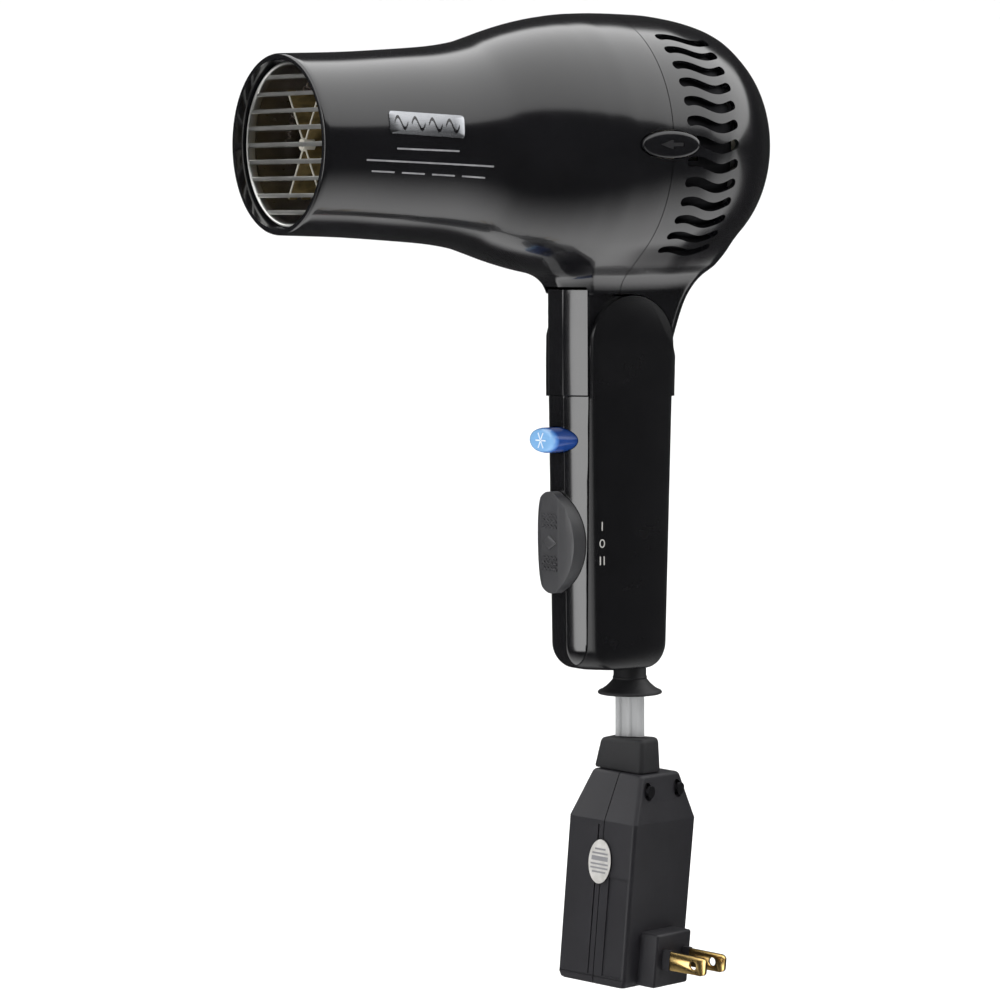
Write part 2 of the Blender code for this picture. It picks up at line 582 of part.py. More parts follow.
def top_strip():
    """The front of the handle above its seam, narrower than the handle; it swings up inside the neck."""
    half, top, foot = STRIP_HALF_WIDTH, STRIP_TOP_Z, FRONT_SEAM_Z + GAP
    outer = [(HANDLE_FRONT_TOP + x, y) for x, y in front_profile(HANDLE_HALF_WIDTH) if abs(y) < half]
    inner = [(x + STRIP_THICKNESS, y) for x, y in reversed(outer)]
    strip = plate("handle_top_strip", outer + inner, foot, top, FINISH["gloss_black"])
    flange = [(-17.4, -17.0), (-16.8, 19.6), (-12.0, 19.6), (-6.0, 17.2), (3.0, 16.6), (10.0, 12.5), (10.0, -5.0),
              (-12.0, -9.0), (-14.6, -17.0)]
    for side, name in ((-1, "left"), (1, "right")):
        cheek = plate(f"strip_side_{name}", flange, -0.5, 0.5, None,
                      Matrix.Translation((0, side * 11.4 * MM, HINGE_Z * MM)) @ OUTLINE_XZ)
        join(strip, cheek, "UNION")
    join(strip, cylinder("strip_pin_clearance", 8.2, -30, 30, 24, None, along_y(0, 0, HINGE_Z)))
    join(strip, box("strip_tongue_root", (-21.4, -4, FRONT_SEAM_Z + 0.8), (-18.4, 4, FRONT_SEAM_Z + 6)), "UNION")
    join(strip, box("strip_tongue", (-19.6, -4, FRONT_SEAM_Z - 6), (-18.4, 4, FRONT_SEAM_Z + 5)), "UNION")


def controls():
    blue = FINISH["blue_plastic"]
    button = loft("cool_button", [
        [(x, y * grow, COOL_Z + z * grow) for y, z in oval(8.4, 4.4, 24)]
        for x, grow in ((-19.5, 1.0), (-27.2, 1.0), (-28.3, 0.94), (-29.1, 0.78), (-29.5, 0.5))], blue)
    join(button, box("cool_stem", (-20.5, -3.0, COOL_Z - 2.5), (-15.4, 3.0, COOL_Z + 2.5)), "UNION")
    turn = OUTLINE_YZ @ Matrix.Rotation(math.pi / 2, 4, "Z")
    face = Matrix.Translation((0, 0, SLIDER_Z * MM)) @ OUTLINE_YZ
    slider = plate("speed_slider", oval(11.0, 17.8, 32), -30.0, -18.0, FINISH["gloss_black"], face)
    around = handle_solid("slider_outside", -SLIDER_PROUD, HINGE_Z, HANDLE_BOTTOM)
    join(slider, around, "INTERSECT")
    join(slider, handle_solid("slider_underside", -0.35, HINGE_Z, HANDLE_BOTTOM))
    stem = plate("slider_stem", stadium(12.0, 4.4), -25.0, -15.3, None,
                 Matrix.Translation((0, 0, SLIDER_Z * MM)) @ turn)
    join(slider, stem, "UNION")
    outer = handle_edges(SLIDER_Z)[0] - SLIDER_PROUD
    for i, height in enumerate((-9.0, -7.0, -5.0, 5.0, 7.0, 9.0)):
        join(slider, box(f"slider_rib_{i}", (outer - 0.7, -3.0, SLIDER_Z + height - 0.4),
                         (outer + 0.7, 3.0, SLIDER_Z + height + 0.4)), "UNION")
    ivory = FINISH["ivory_plastic"]
    box("speed_switch", (-14.9, -6.5, SLIDER_Z - 13), (-4.0, 6.5, SLIDER_Z + 13), ivory, None, 0.6)
    box("cool_switch", (-12.0, -5.5, COOL_Z - 6.5), (-4.0, 5.5, COOL_Z + 6.5), ivory, None, 0.6)
    wires = [(-6.5, 7.6, SLIDER_Z + 10), (-6.5, 8.6, SLIDER_Z + 20), (-4.0, 8.8, COOL_Z), (-1.5, 8.0, COOL_Z + 12),
             (0.0, 6.5, HINGE_Z - 8), (0.5, 6.0, HINGE_Z)]
    wire("switch_wiring", wires, 0.8, FINISH["rubber"])


# Cord and plug


def cord():
    """The flat cord inside the handle and down to the plug, and the flared grommet it passes through."""
    bottom = HANDLE_BOTTOM
    profile = [(0, bottom + GROMMET_ROOT), (GROMMET_NECK_R, bottom + GROMMET_ROOT),
               (GROMMET_NECK_R, bottom - GROMMET_NECK), (GROMMET_NECK_R + 1.2, bottom - GROMMET_NECK - 2.2),
               (GROMMET_FLARE_R - 2.2, bottom - GROMMET_NECK - 4.2), (GROMMET_FLARE_R, bottom - GROMMET_FLARE),
               (GROMMET_FLARE_R, bottom - GROMMET_FOOT), (0, bottom - GROMMET_FOOT)]
    grommet = turned("cord_grommet", profile, 24, FINISH["rubber"], Matrix.Translation((CORD_X * MM, 0, 0)))
    spot = Matrix.Translation((CORD_X * MM, 0, 0)) @ Matrix.Rotation(CORD_TURN, 4, "Z")
    join(grommet, plate("grommet_slot", stadium(CORD_WIDTH + 2 * GAP, CORD_THICKNESS + 2 * GAP), bottom - 20,
                        bottom + 20, None, spot))
    plate("supply_cord", stadium(CORD_WIDTH, CORD_THICKNESS), PLUG_TOP + GAP, HINGE_Z - 22.0, FINISH["cord"], spot)


def plug_body(name, inset):
    """The outer form of the plug, or its hollow when it is set in."""
    wide, deep = PLUG_HALF_WIDTH, PLUG_HALF_DEPTH
    rows = [(PLUG_SHOULDER - inset, 10.5, -10.5, 12.4), (PLUG_WAIST, deep, -deep, wide),
            (PLUG_BOTTOM + 2.0, deep + 0.1, -deep + 0.2, wide - 0.4),
            (PLUG_BOTTOM + inset, deep - 1.2, -deep + 1.6, wide - 1.3)]
    return loft(name, [rounded_rectangle(rear + inset, front - inset, half - inset, 1.6, height, 3)
                       for height, front, rear, half in rows], None, PLUG_PLACE)


def cord_on_plug():
    """Where the cord meets the plug, in the plug's own place."""
    return PLUG_PLACE.inverted() @ Vector((CORD_X * MM, 0, PLUG_TOP * MM)) / MM


def under_cord():
    here = cord_on_plug()
    return PLUG_PLACE @ Matrix.Translation((here.x * MM, here.y * MM, 0))


def plug():
    hollow = plug_body("plug_hollow", PLUG_WALL)
    halves = (("plug_front_shell", PLUG_PARTING + GAP / 2, 40), ("plug_rear_shell", -40, PLUG_PARTING - GAP / 2))
    socket = [size + 2 * GAP for size in NECK_SOCKET]
    for name, low, high in halves:
        shell = plug_body(name, 0.0)
        keep(shell, FINISH["plug_black"])
        if name == "plug_front_shell":
            join(shell, box("blade_pedestal", (12, -11.0, PEDESTAL_LOW), (21.5, 11.0, PEDESTAL_HIGH), None,
                            PLUG_PLACE, 1.0), "UNION")
        join(shell, box(name + "_half", (low, -40, -200), (high, 40, 0), None, PLUG_PLACE), "INTERSECT")
        join(shell, hollow)
        join(shell, plate("neck_socket_" + name, stadium(*socket), PLUG_SHOULDER - 12, PLUG_SHOULDER + 5, None,
                          under_cord()))
        if name == "plug_front_shell":
            for i, side in enumerate((-1, 1)):
                join(shell, box(f"blade_slot_{i}", (5, side * BLADE_Y - 1.1, BLADE_Z - 3.6),
                                (30, side * BLADE_Y + 1.1, BLADE_Z + 3.6), None, PLUG_PLACE))
                join(shell, cylinder(f"plug_screw_seat_{i}", 2.7, 10, 30, 16, None,
                                     plug_axis(side * PLUG_SCREW_Y, PLUG_SCREW_Z)))
        else:
            for i, height in enumerate((TEST_Z, RESET_Z)):
                join(shell, box(f"button_window_{i}", (-30, -5.3, height - 3.3), (-5, 5.3, height + 3.3), None,
                                PLUG_PLACE))
    plug_neck()
    for side, name in ((-1, "near"), (1, "far")):
        half, tip = BLADE_WIDTH / 2, BLADE_TIP
        blade = [(7.0, -half), (tip - 1.0, -half), (tip, 1.0 - half), (tip, half - 1.0), (tip - 1.0, half),
                 (7.0, half)]
        spot = PLUG_PLACE @ Matrix.Translation((0, side * BLADE_Y * MM, BLADE_Z * MM)) @ OUTLINE_XZ
        thick = BLADE_THICKNESS / 2
        piece = plate(f"plug_blade_{name}", blade, -thick, thick, FINISH["brass"], spot)
        hole_place = spot @ Matrix.Translation((34 * MM, 0, 0))
        join(piece, cylinder(f"blade_hole_{name}", 1.55, -5, 5, 16, None, hole_place))
        cylinder(f"plug_screw_{name}", 2.2, 12.2, 13.2, 16, FINISH["dark_metal"],
                 plug_axis(side * PLUG_SCREW_Y, PLUG_SCREW_Z))
    box("plug_circuit_board", (-1.6, -15.0, PLUG_BOTTOM + 20), (0.0, 15.0, PLUG_SHOULDER - 20),
        FINISH["circuit_green"], PLUG_PLACE)
    buttons = (("test_button", TEST_Z, "ivory_plastic"), ("reset_button", RESET_Z, "red_plastic"))
    for name, height, finish in buttons:
        box(name, (-16.4, -5.0, height - 3.0), (-8.0, 5.0, height + 3.0), FINISH[finish], PLUG_PLACE, 0.6)
    spot = PLUG_PLACE @ Matrix.Translation((0.8 * MM, 0, LABEL_Z * MM)) @ OUTLINE_XZ
    label = oval(4.6, 7.8, 24)
    plate("plug_label", label, PLUG_HALF_WIDTH + GAP, PLUG_HALF_WIDTH + 0.6, FINISH["paper"], spot)


def plug_neck():
    """The cord's clamp: upright under the cord, and resting on the leaning plug."""
    here = cord_on_plug()
    around = Matrix.Translation((CORD_X * MM, 0, 0)) @ PLUG_UPRIGHT
    top = rounded_rectangle(-9.0, 9.0, 5.7, 1.4, 0.0, 3)
    foot = rounded_rectangle(-10.2, 10.2, 6.6, 1.4, 0.0, 3)
    rings = []
    for share, drop in ((0.0, 0.0), (0.12, 1.0), (1.0, 0.0)):
        ring_points = []
        for (x0, y0, _), (x1, y1, _) in zip(top, foot):
            ease = 0.93 if share == 0.0 else 1.0
            upper = around @ Vector((x0 * ease * MM, y0 * ease * MM, PLUG_TOP * MM))
            lower = PLUG_PLACE @ Vector(((x1 + here.x) * MM, (y1 + here.y) * MM, (PLUG_SHOULDER + GAP) * MM))
            point = upper.lerp(lower, share)
            ring_points.append(tuple(point / MM))
        rings.append(ring_points)
    neck = loft("plug_neck", rings, FINISH["rubber"])
    root = plate("neck_root", stadium(*NECK_SOCKET), PLUG_SHOULDER - 5, PLUG_SHOULDER + 4, None, under_cord())
    join(neck, root, "UNION")


def plug_axis(across, height):
    """Own third axis along the blades."""
    return PLUG_PLACE @ Matrix.Translation((0, across * MM, height * MM)) @ AXIS_X


clear_scene()
PARTS = new_collection("travel_hair_dryer")
CUTTERS = new_collection("cutters")
FINISH = {
    "gloss_black": material("gloss_black", (0.012, 0.012, 0.014), 0.16),
    "matte_black": material("matte_black", (0.016, 0.016, 0.018), 0.5),
    "plug_black": material("plug_black", (0.018, 0.017, 0.02), 0.4),
    "rubber": material("rubber", (0.02, 0.02, 0.022), 0.6),
    "cord": material("cord", (0.78, 0.79, 0.8), 0.5),
    "pale_metal": material("pale_metal", (0.62, 0.62, 0.6), 0.35, 0.9),
    "steel": material("steel", (0.55, 0.55, 0.56), 0.35, 1.0),
    "dark_metal": material("dark_metal", (0.06, 0.06, 0.065), 0.5, 0.8),
    "silver": material("silver", (0.75, 0.76, 0.78), 0.25, 0.9),
    "brass": material("brass", (0.78, 0.6, 0.3), 0.25, 1.0),
    "mica": material("mica", (0.5, 0.38, 0.2), 0.45),
    "heating_wire": material("heating_wire", (0.35, 0.3, 0.27), 0.4, 1.0),
    "ivory_plastic": material("ivory_plastic", (0.75, 0.72, 0.64), 0.5),
    "grey_plastic": material("grey_plastic", (0.25, 0.25, 0.26), 0.45),
    "blue_plastic": material("blue_plastic", (0.04, 0.19, 0.75), 0.25),
    "red_plastic": material("red_plastic", (0.55, 0.05, 0.04), 0.4),
    "circuit_green": material("circuit_green", (0.04, 0.25, 0.1), 0.5),
    "paper": material("paper", (0.85, 0.84, 0.82), 0.6),
}
housings()
outlet_grille()
heater()
fan_drive()
lint_screen()
cord_reel()
rewind_parts()
barrel_electronics()
hinge()
handle()
top_strip()
controls()
cord()
plug()
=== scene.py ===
"""Travel hair dryer: the visible model, its materials, the studio light and the camera.

Lengths in the tables are in millimetres. +X points to the rear of the barrel and +Z is up.
"""

import math

import bmesh
import bpy
import numpy as np
from mathutils import Matrix, Vector


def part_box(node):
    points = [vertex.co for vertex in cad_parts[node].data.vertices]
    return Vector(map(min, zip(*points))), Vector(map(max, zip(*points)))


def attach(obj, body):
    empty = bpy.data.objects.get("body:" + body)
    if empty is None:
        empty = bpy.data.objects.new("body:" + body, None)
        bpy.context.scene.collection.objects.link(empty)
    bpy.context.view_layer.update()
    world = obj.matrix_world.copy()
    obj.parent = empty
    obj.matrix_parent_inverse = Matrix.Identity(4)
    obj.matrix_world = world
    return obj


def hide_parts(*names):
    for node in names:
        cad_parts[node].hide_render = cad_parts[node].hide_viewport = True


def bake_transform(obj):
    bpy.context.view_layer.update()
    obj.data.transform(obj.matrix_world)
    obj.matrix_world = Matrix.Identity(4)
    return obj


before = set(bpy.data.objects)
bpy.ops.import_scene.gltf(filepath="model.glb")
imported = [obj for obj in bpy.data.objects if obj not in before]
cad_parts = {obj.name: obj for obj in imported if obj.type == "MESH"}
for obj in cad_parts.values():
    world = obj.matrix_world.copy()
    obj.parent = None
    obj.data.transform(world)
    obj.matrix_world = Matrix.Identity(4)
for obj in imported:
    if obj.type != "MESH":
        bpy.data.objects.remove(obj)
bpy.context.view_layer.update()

MM = 0.001


# Places in the frame, and placings


def low_mm(node):
    return Vector(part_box(node)[0]) / MM


def high_mm(node):
    return Vector(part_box(node)[1]) / MM


def hinge_and_barrel():
    """Height of the folding hinge and of the barrel's axis, from the pins and the shaft in the frame."""
    pin_low, pin_high = low_mm("hinge_pin_left"), high_mm("hinge_pin_left")
    shaft_low, shaft_high = low_mm("motor_shaft"), high_mm("motor_shaft")
    return (pin_low.z + pin_high.z) / 2, (shaft_low.z + shaft_high.z) / 2


def at(x=0.0, y=0.0, z=0.0):
    return Matrix.Translation((x * MM, y * MM, z * MM))


HINGE_Z, BARREL_Z = hinge_and_barrel()
NOZZLE_X = low_mm("front_housing").x
SPLIT_X = high_mm("front_housing").x
GAP = 0.3
HANDLE_BOTTOM = low_mm("handle_rear_shell").z
FLOOR_BELOW_PLUG = 30.0
FLOOR_Z = low_mm("plug_front_shell").z - FLOOR_BELOW_PLUG
HANDLE_HALF = high_mm("handle_rear_shell").y
SEAM_X = low_mm("handle_rear_shell").x
FRONT_SEAM_Z = high_mm("handle_front_cover").z
COOL_Z = (low_mm("cool_button").z + high_mm("cool_button").z) / 2
SLIDER_Z = (low_mm("speed_slider").z + high_mm("speed_slider").z) / 2
REWIND_X = (low_mm("rewind_button").x + high_mm("rewind_button").x) / 2
CORD_X = (low_mm("supply_cord").x + high_mm("supply_cord").x) / 2
CORD_TOP, CORD_FOOT = high_mm("supply_cord").z, low_mm("supply_cord").z
PLUG_TOP = high_mm("plug_neck").z
CLAMP_HEIGHT, PLUG_HEIGHT = 12.0, 74.5
PLUG_SHOULDER = PLUG_TOP - CLAMP_HEIGHT
PLUG_BOTTOM = PLUG_SHOULDER - PLUG_HEIGHT
PLUG_X = 12.6
LEAN_AXIS = (0.559, 0.829, 0.0)
PLUG_TURN, PLUG_LEAN = math.radians(-69.0), math.radians(4.6)
PLUG_UPRIGHT = Matrix.Rotation(PLUG_TURN, 4, "Z")
PLUG_PLACE = at(PLUG_X, 0, PLUG_TOP) @ Matrix.Rotation(PLUG_LEAN, 4, LEAN_AXIS) @ PLUG_UPRIGHT @ at(z=-PLUG_TOP)
CORD_TURN = math.radians(-50.0)
CORD_PLACE = at(CORD_X) @ Matrix.Rotation(CORD_TURN, 4, "Z")
OUTLINE_XZ = Matrix(((1, 0, 0, 0), (0, 0, -1, 0), (0, 1, 0, 0), (0, 0, 0, 1)))
OUTLINE_YZ = Matrix(((0, 0, 1, 0), (1, 0, 0, 0), (0, 1, 0, 0), (0, 0, 0, 1)))
AXIS_X = Matrix(((0, 0, 1, 0), (0, 1, 0, 0), (-1, 0, 0, 0), (0, 0, 0, 1)))
AXIS_Y = Matrix(((1, 0, 0, 0), (0, 0, 1, 0), (0, -1, 0, 0), (0, 0, 0, 1)))
HINGE_SIDE, HINGE_ACROSS = at(z=HINGE_Z) @ OUTLINE_XZ, at(z=HINGE_Z) @ AXIS_Y
REWIND_FACE = at(REWIND_X, 0, BARREL_Z) @ OUTLINE_XZ
COOL_FACE, SLIDER_FACE = at(z=COOL_Z) @ OUTLINE_YZ, at(z=SLIDER_Z) @ OUTLINE_YZ
SLIDER_UPRIGHT = SLIDER_FACE @ Matrix.Rotation(math.pi / 2, 4, "Z")
BARREL_TURN = at(z=BARREL_Z) @ Matrix.Rotation(math.pi / 2, 4, "Y")


# Camera


AZIMUTH, ELEVATION = math.radians(-34.0), math.radians(4.2)
DISTANCE, NEAR_CLIP, FAR_CLIP = 1.4, 0.05, 20.0
LENS, SENSOR = 144.0, 36.0
AIM_RIGHT, AIM_UP = -38.5, -54.3
ROLL = math.radians(-0.22)


def camera():
    back = Vector((math.sin(AZIMUTH) * math.cos(ELEVATION), -math.cos(AZIMUTH) * math.cos(ELEVATION),
                   math.sin(ELEVATION)))
    right = Vector((math.cos(AZIMUTH), math.sin(AZIMUTH), 0.0))
    up = back.cross(right)
    aim = Vector((0, 0, HINGE_Z * MM)) + right * AIM_RIGHT * MM + up * AIM_UP * MM
    data = bpy.data.cameras.new("camera")
    data.lens, data.sensor_width = LENS, SENSOR
    data.clip_start, data.clip_end = NEAR_CLIP, FAR_CLIP
    obj = bpy.data.objects.new("camera", data)
    facing = Matrix((right, up, back)).transposed().to_4x4()
    obj.matrix_world = Matrix.Translation(aim + back * DISTANCE) @ facing @ Matrix.Rotation(ROLL, 4, "Z")
    bpy.context.scene.collection.objects.link(obj)
    bpy.context.scene.camera = obj
    return back, right


BACK, RIGHT = camera()


# Materials


class Look:
    """One procedural material: a principled shader with its colour, roughness and bump by nodes."""

    def __init__(self, name, roughness, metallic=0.0, coat=0.0, coat_roughness=0.05, specular=0.5):
        self.material = bpy.data.materials.new(name)
        self.material.use_nodes = True
        self.tree = self.material.node_tree
        self.shader = self.tree.nodes["Principled BSDF"]
        for socket, value in (("Metallic", metallic), ("Coat Weight", coat),
                              ("Coat Roughness", coat_roughness), ("Specular IOR Level", specular),
                              ("IOR", 1.5), ("Roughness", roughness)):
            self.shader.inputs[socket].default_value = value
        self.where = self.node("ShaderNodeTexCoord").outputs["Object"]
        self.height = None

    def node(self, kind, **settings):
        made = self.tree.nodes.new(kind)
        for key, value in settings.items():
            setattr(made, key, value)
        return made

    def link(self, source, target):
        self.tree.links.new(source, target)

    def noise(self, scale, detail=3.0, stretch=None, distortion=0.0):
        """Noise from 0 to 1, scale in features per metre, stretched by a vector."""
        source = self.where
        if stretch:
            mapping = self.node("ShaderNodeMapping")
            mapping.inputs["Scale"].default_value = stretch
            self.link(source, mapping.inputs["Vector"])
            source = mapping.outputs["Vector"]
        made = self.node("ShaderNodeTexNoise")
        made.inputs["Scale"].default_value = scale
        made.inputs["Detail"].default_value = detail
        made.inputs["Distortion"].default_value = distortion
        self.link(source, made.inputs["Vector"])
        return made.outputs["Fac"]

    def wave(self, scale, distortion):
        made = self.node("ShaderNodeTexWave", bands_direction="X")
        made.inputs["Scale"].default_value = scale
        made.inputs["Distortion"].default_value = distortion
        self.link(self.where, made.inputs["Vector"])
        return made.outputs["Fac"]

    def paint(self, value, *stops):
        """Colour by a value: (place, colour) stops along it."""
        made = self.node("ShaderNodeValToRGB")
        made.color_ramp.interpolation = "LINEAR"
        while len(made.color_ramp.elements) < len(stops):
            made.color_ramp.elements.new(0.5)
        for element, (place, colour) in zip(made.color_ramp.elements, stops):
            element.position = place
            element.color = (*colour, 1.0)
        self.link(value, made.inputs["Fac"])
        self.link(made.outputs["Color"], self.shader.inputs["Base Color"])

    def math(self, operation, a, b):
        made = self.node("ShaderNodeMath", operation=operation)
        for socket, value in zip(made.inputs, (a, b)):
            if isinstance(value, (int, float)):
                socket.default_value = value
            else:
                self.link(value, socket)
        return made.outputs["Value"]

    def span(self, value, low, high):
        made = self.node("ShaderNodeMapRange")
        made.inputs["To Min"].default_value, made.inputs["To Max"].default_value = low, high
        self.link(value, made.inputs["Value"])
        return made.outputs["Result"]

    def rough(self, value):
        self.link(value, self.shader.inputs["Roughness"])

    def bump(self, value, distance, strength=1.0):
        """Relief of a real height in metres, added over what is there."""
        made = self.node("ShaderNodeBump")
        made.inputs["Strength"].default_value = strength
        made.inputs["Distance"].default_value = distance
        self.link(value, made.inputs["Height"])
        if self.height:
            self.link(self.height, made.inputs["Normal"])
        self.height = made.outputs["Normal"]
        self.link(self.height, self.shader.inputs["Normal"])


def shades(colour, spread):
    return [tuple(max(c * (1 + sign * spread), 0.0) for c in colour) for sign in (-1, 1)]


def moulded(name, colour, roughness, grain, grain_scale, spread=0.12, **settings):
    """Moulded plastic: faint flow marks in the colour, handling marks in the gloss and a fine grain."""
    look = Look(name, roughness, **settings)
    dark, light = shades(colour, spread)
    look.paint(look.noise(70.0, 4.0), (0.3, dark), (0.7, light))
    smudge = look.noise(38.0, 5.0, distortion=0.6)
    scratch = look.noise(260.0, 2.0, stretch=(1.0, 9.0, 1.0))
    look.rough(look.span(look.math("ADD", smudge, look.math("MULTIPLY", scratch, 0.35)),
                         roughness * 0.82, roughness * 1.22))
    look.bump(look.noise(grain_scale, 2.0), grain)
    return look.material


def metal(name, colour, roughness, stretch=(1.0, 14.0, 1.0), scale=320.0):
    """Drawn or stamped metal: a fine lay one way and a slight tarnish."""
    look = Look(name, roughness, 1.0)
    dark, light = shades(colour, 0.18)
    look.paint(look.noise(60.0, 5.0), (0.3, dark), (0.75, light))
    lay = look.noise(scale, 3.0, stretch=stretch)
    look.rough(look.span(lay, roughness * 0.75, roughness * 1.3))
    look.bump(lay, 0.000015)
    return look.material


def gloss_black():
    look = Look("gloss_black", 0.13, coat=0.5, coat_roughness=0.03, specular=0.55)
    look.paint(look.noise(55.0, 4.0), (0.3, (0.0042, 0.0042, 0.005)), (0.75, (0.0075, 0.0075, 0.0088)))
    smudge = look.noise(26.0, 6.0, distortion=0.8)
    hairline = look.noise(900.0, 1.0, stretch=(0.12, 1.0, 1.0))
    look.rough(look.span(look.math("ADD", smudge, look.math("MULTIPLY", hairline, 0.25)), 0.09, 0.2))
    look.bump(look.noise(42.0, 2.0), 0.000025, 0.6)
    return look.material


def cord_look():
    """Pale grey vinyl with mould marks and a little soiling; its three soft ribs are mesh."""
    look = Look("cord_vinyl", 0.42, specular=0.45)
    soil = look.noise(120.0, 5.0, stretch=(1.0, 1.0, 0.35))
    look.paint(soil, (0.25, (0.32, 0.325, 0.33)), (0.6, (0.4, 0.405, 0.41)), (0.85, (0.5, 0.505, 0.51)))
    look.rough(look.span(look.noise(300.0, 3.0, stretch=(1.0, 1.0, 0.2)), 0.34, 0.5))
    look.bump(look.noise(1500.0, 2.0), 0.00002)
    return look.material


def mica_look():
    look = Look("mica_sheet", 0.4, specular=0.6)
    flakes = look.noise(240.0, 6.0, stretch=(0.5, 1.0, 1.0), distortion=1.4)
    look.paint(flakes, (0.25, (0.1, 0.075, 0.03)), (0.5, (0.2, 0.15, 0.06)), (0.75, (0.36, 0.27, 0.12)))
    look.rough(look.span(flakes, 0.25, 0.6))
    look.bump(flakes, 0.00005)
    return look.material


def paper_look():
    look = Look("printed_paper", 0.55)
    look.paint(look.noise(420.0, 5.0), (0.3, (0.4, 0.39, 0.37)), (0.7, (0.52, 0.51, 0.49)))
    look.bump(look.noise(1400.0, 3.0), 0.00001)
    return look.material


def wound_wire():
    look = Look("heating_wire", 0.38, 1.0)
    turns = look.wave(900.0, 0.4)
    look.paint(look.noise(150.0, 4.0), (0.3, (0.2, 0.17, 0.15)), (0.7, (0.42, 0.36, 0.33)))
    look.bump(turns, 0.00015)
    return look.material


def silver_badge():
    look = Look("badge_silver", 0.3, 1.0)
    look.paint(look.noise(90.0, 3.0), (0.3, (0.36, 0.37, 0.39)), (0.75, (0.48, 0.49, 0.51)))
    lay = look.noise(700.0, 2.0, stretch=(0.05, 1.0, 1.0))
    look.rough(look.span(lay, 0.18, 0.34))
    look.bump(lay, 0.00001)
    return look.material


# Where the button's face sits on X, and the depth behind it over which the blue goes from painted lit pale to
# painted shaded deep
BLUE_LIT_FACE_X, BLUE_PAINTED_SHADE_DEPTH = 0.0293, 0.0024


def blue_look_painted_light():
    """Clear blue plastic with painted light: the face painted pale as if lit, the sides painted deep blue as
    shade, with a faint random mottle.
    """
    look = Look("blue_plastic", 0.24, coat=0.3)
    parts = look.node("ShaderNodeSeparateXYZ")
    look.link(look.where, parts.inputs["Vector"])
    depth = look.math("MULTIPLY", look.math("ADD", parts.outputs["X"], BLUE_LIT_FACE_X), 1 / BLUE_PAINTED_SHADE_DEPTH)
    painted_shade_and_mottle = look.math("ADD", depth, look.span(look.noise(300.0, 3.0), -0.08, 0.08))
    # Painted light and shade: pale at the face as a painted highlight, deep blue along the sides as painted
    # shade, plus a little random mottle
    look.paint(painted_shade_and_mottle, (0.1, (0.2, 0.42, 0.72)), (0.55, (0.06, 0.19, 0.55)), (0.9, (0.012, 0.055, 0.26)))
    look.rough(look.span(look.noise(90.0, 3.0), 0.18, 0.3))
    look.bump(look.noise(900.0, 2.0), 0.00001)
    return look.material


def plain_look(name, dark, light, roughness):
    look = Look(name, roughness)
    look.paint(look.noise(400.0), (0.3, dark), (0.7, light))
    look.bump(look.noise(1200.0), 0.00001)
    return look.material


LOOKS = {
    "gloss_black": gloss_black(),
    "matte_black": moulded("matte_black", (0.006, 0.006, 0.0068), 0.24, 0.000008, 2600.0, specular=0.3),
    "plug_black": moulded("plug_black", (0.015, 0.0145, 0.0175), 0.42, 0.000022, 2300.0, specular=0.34),
    "rubber": moulded("soft_black", (0.013, 0.013, 0.0145), 0.55, 0.00003, 1900.0, specular=0.35),
    "cord": cord_look(),
    "pale_metal": metal("pale_metal", (0.62, 0.62, 0.6), 0.34),
    "steel": metal("steel", (0.5, 0.5, 0.51), 0.3),
    "dark_metal": metal("dark_metal", (0.022, 0.022, 0.024), 0.6),
    "silver": silver_badge(),
    "brass": metal("brass", (0.66, 0.46, 0.18), 0.22, (1.0, 1.0, 9.0), 420.0),
    "mica": mica_look(),
    "heating_wire": wound_wire(),
    "ivory_plastic": moulded("ivory_plastic", (0.68, 0.65, 0.56), 0.45, 0.00001, 1500.0, 0.06),
    "grey_plastic": moulded("grey_plastic", (0.2, 0.2, 0.21), 0.4, 0.00001, 1500.0, 0.08),
    "blue_plastic": blue_look_painted_light(),
    "red_plastic": moulded("red_plastic", (0.5, 0.03, 0.025), 0.33, 0.00001, 1500.0, 0.08),
    "circuit_green": moulded("circuit_green", (0.02, 0.16, 0.06), 0.4, 0.00002, 900.0, 0.25),
    "paper": paper_look(),
    "frost_white": plain_look("frost_white", (0.62, 0.72, 0.86), (0.8, 0.87, 0.95), 0.35),
    "print_grey": plain_look("print_grey", (0.2, 0.2, 0.21), (0.3, 0.3, 0.31), 0.5),
    "slider_satin": moulded("slider_satin", (0.04, 0.04, 0.043), 0.36, 0.00001, 1800.0, specular=0.6),
}
SHARP = 32.0


# Mesh helpers: tables in millimetres in, objects in metres out


def new_object(name, mesh):
    obj = bpy.data.objects.new(name, mesh)
    bpy.context.scene.collection.objects.link(obj)
    shade(mesh)
    return obj


def finish_piece(obj, look, body, *nodes, sharp=SHARP):
    """Gives a piece its material, its shading and its body, and hides the CAD nodes that it stands for."""
    obj.data.materials.clear()
    obj.data.materials.append(LOOKS[look])
    shade(obj.data, sharp)
    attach(obj, body)
    if nodes:
        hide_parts(*nodes)
    return obj


def shade(mesh, sharp=SHARP):
    for polygon in mesh.polygons:
        polygon.use_smooth = True
    mesh.set_sharp_from_angle(angle=math.radians(sharp))


def from_points(name, points, faces, matrix=None):
    mesh = bpy.data.meshes.new(name)
    moved = [Vector(p) * MM for p in points]
    if matrix:
        moved = [matrix @ p for p in moved]
    mesh.from_pydata(moved, [], faces)
    work = bmesh.new()
    work.from_mesh(mesh)
    bmesh.ops.recalc_face_normals(work, faces=work.faces)
    work.to_mesh(mesh)
    work.free()
    return new_object(name, mesh)


def slab_faces(count):
    """Two outlines of so many points each, and the wall between them."""
    wall = [(i, (i + 1) % count, count + (i + 1) % count, count + i) for i in range(count)]
    return [tuple(range(count))[::-1], tuple(range(count, 2 * count))] + wall


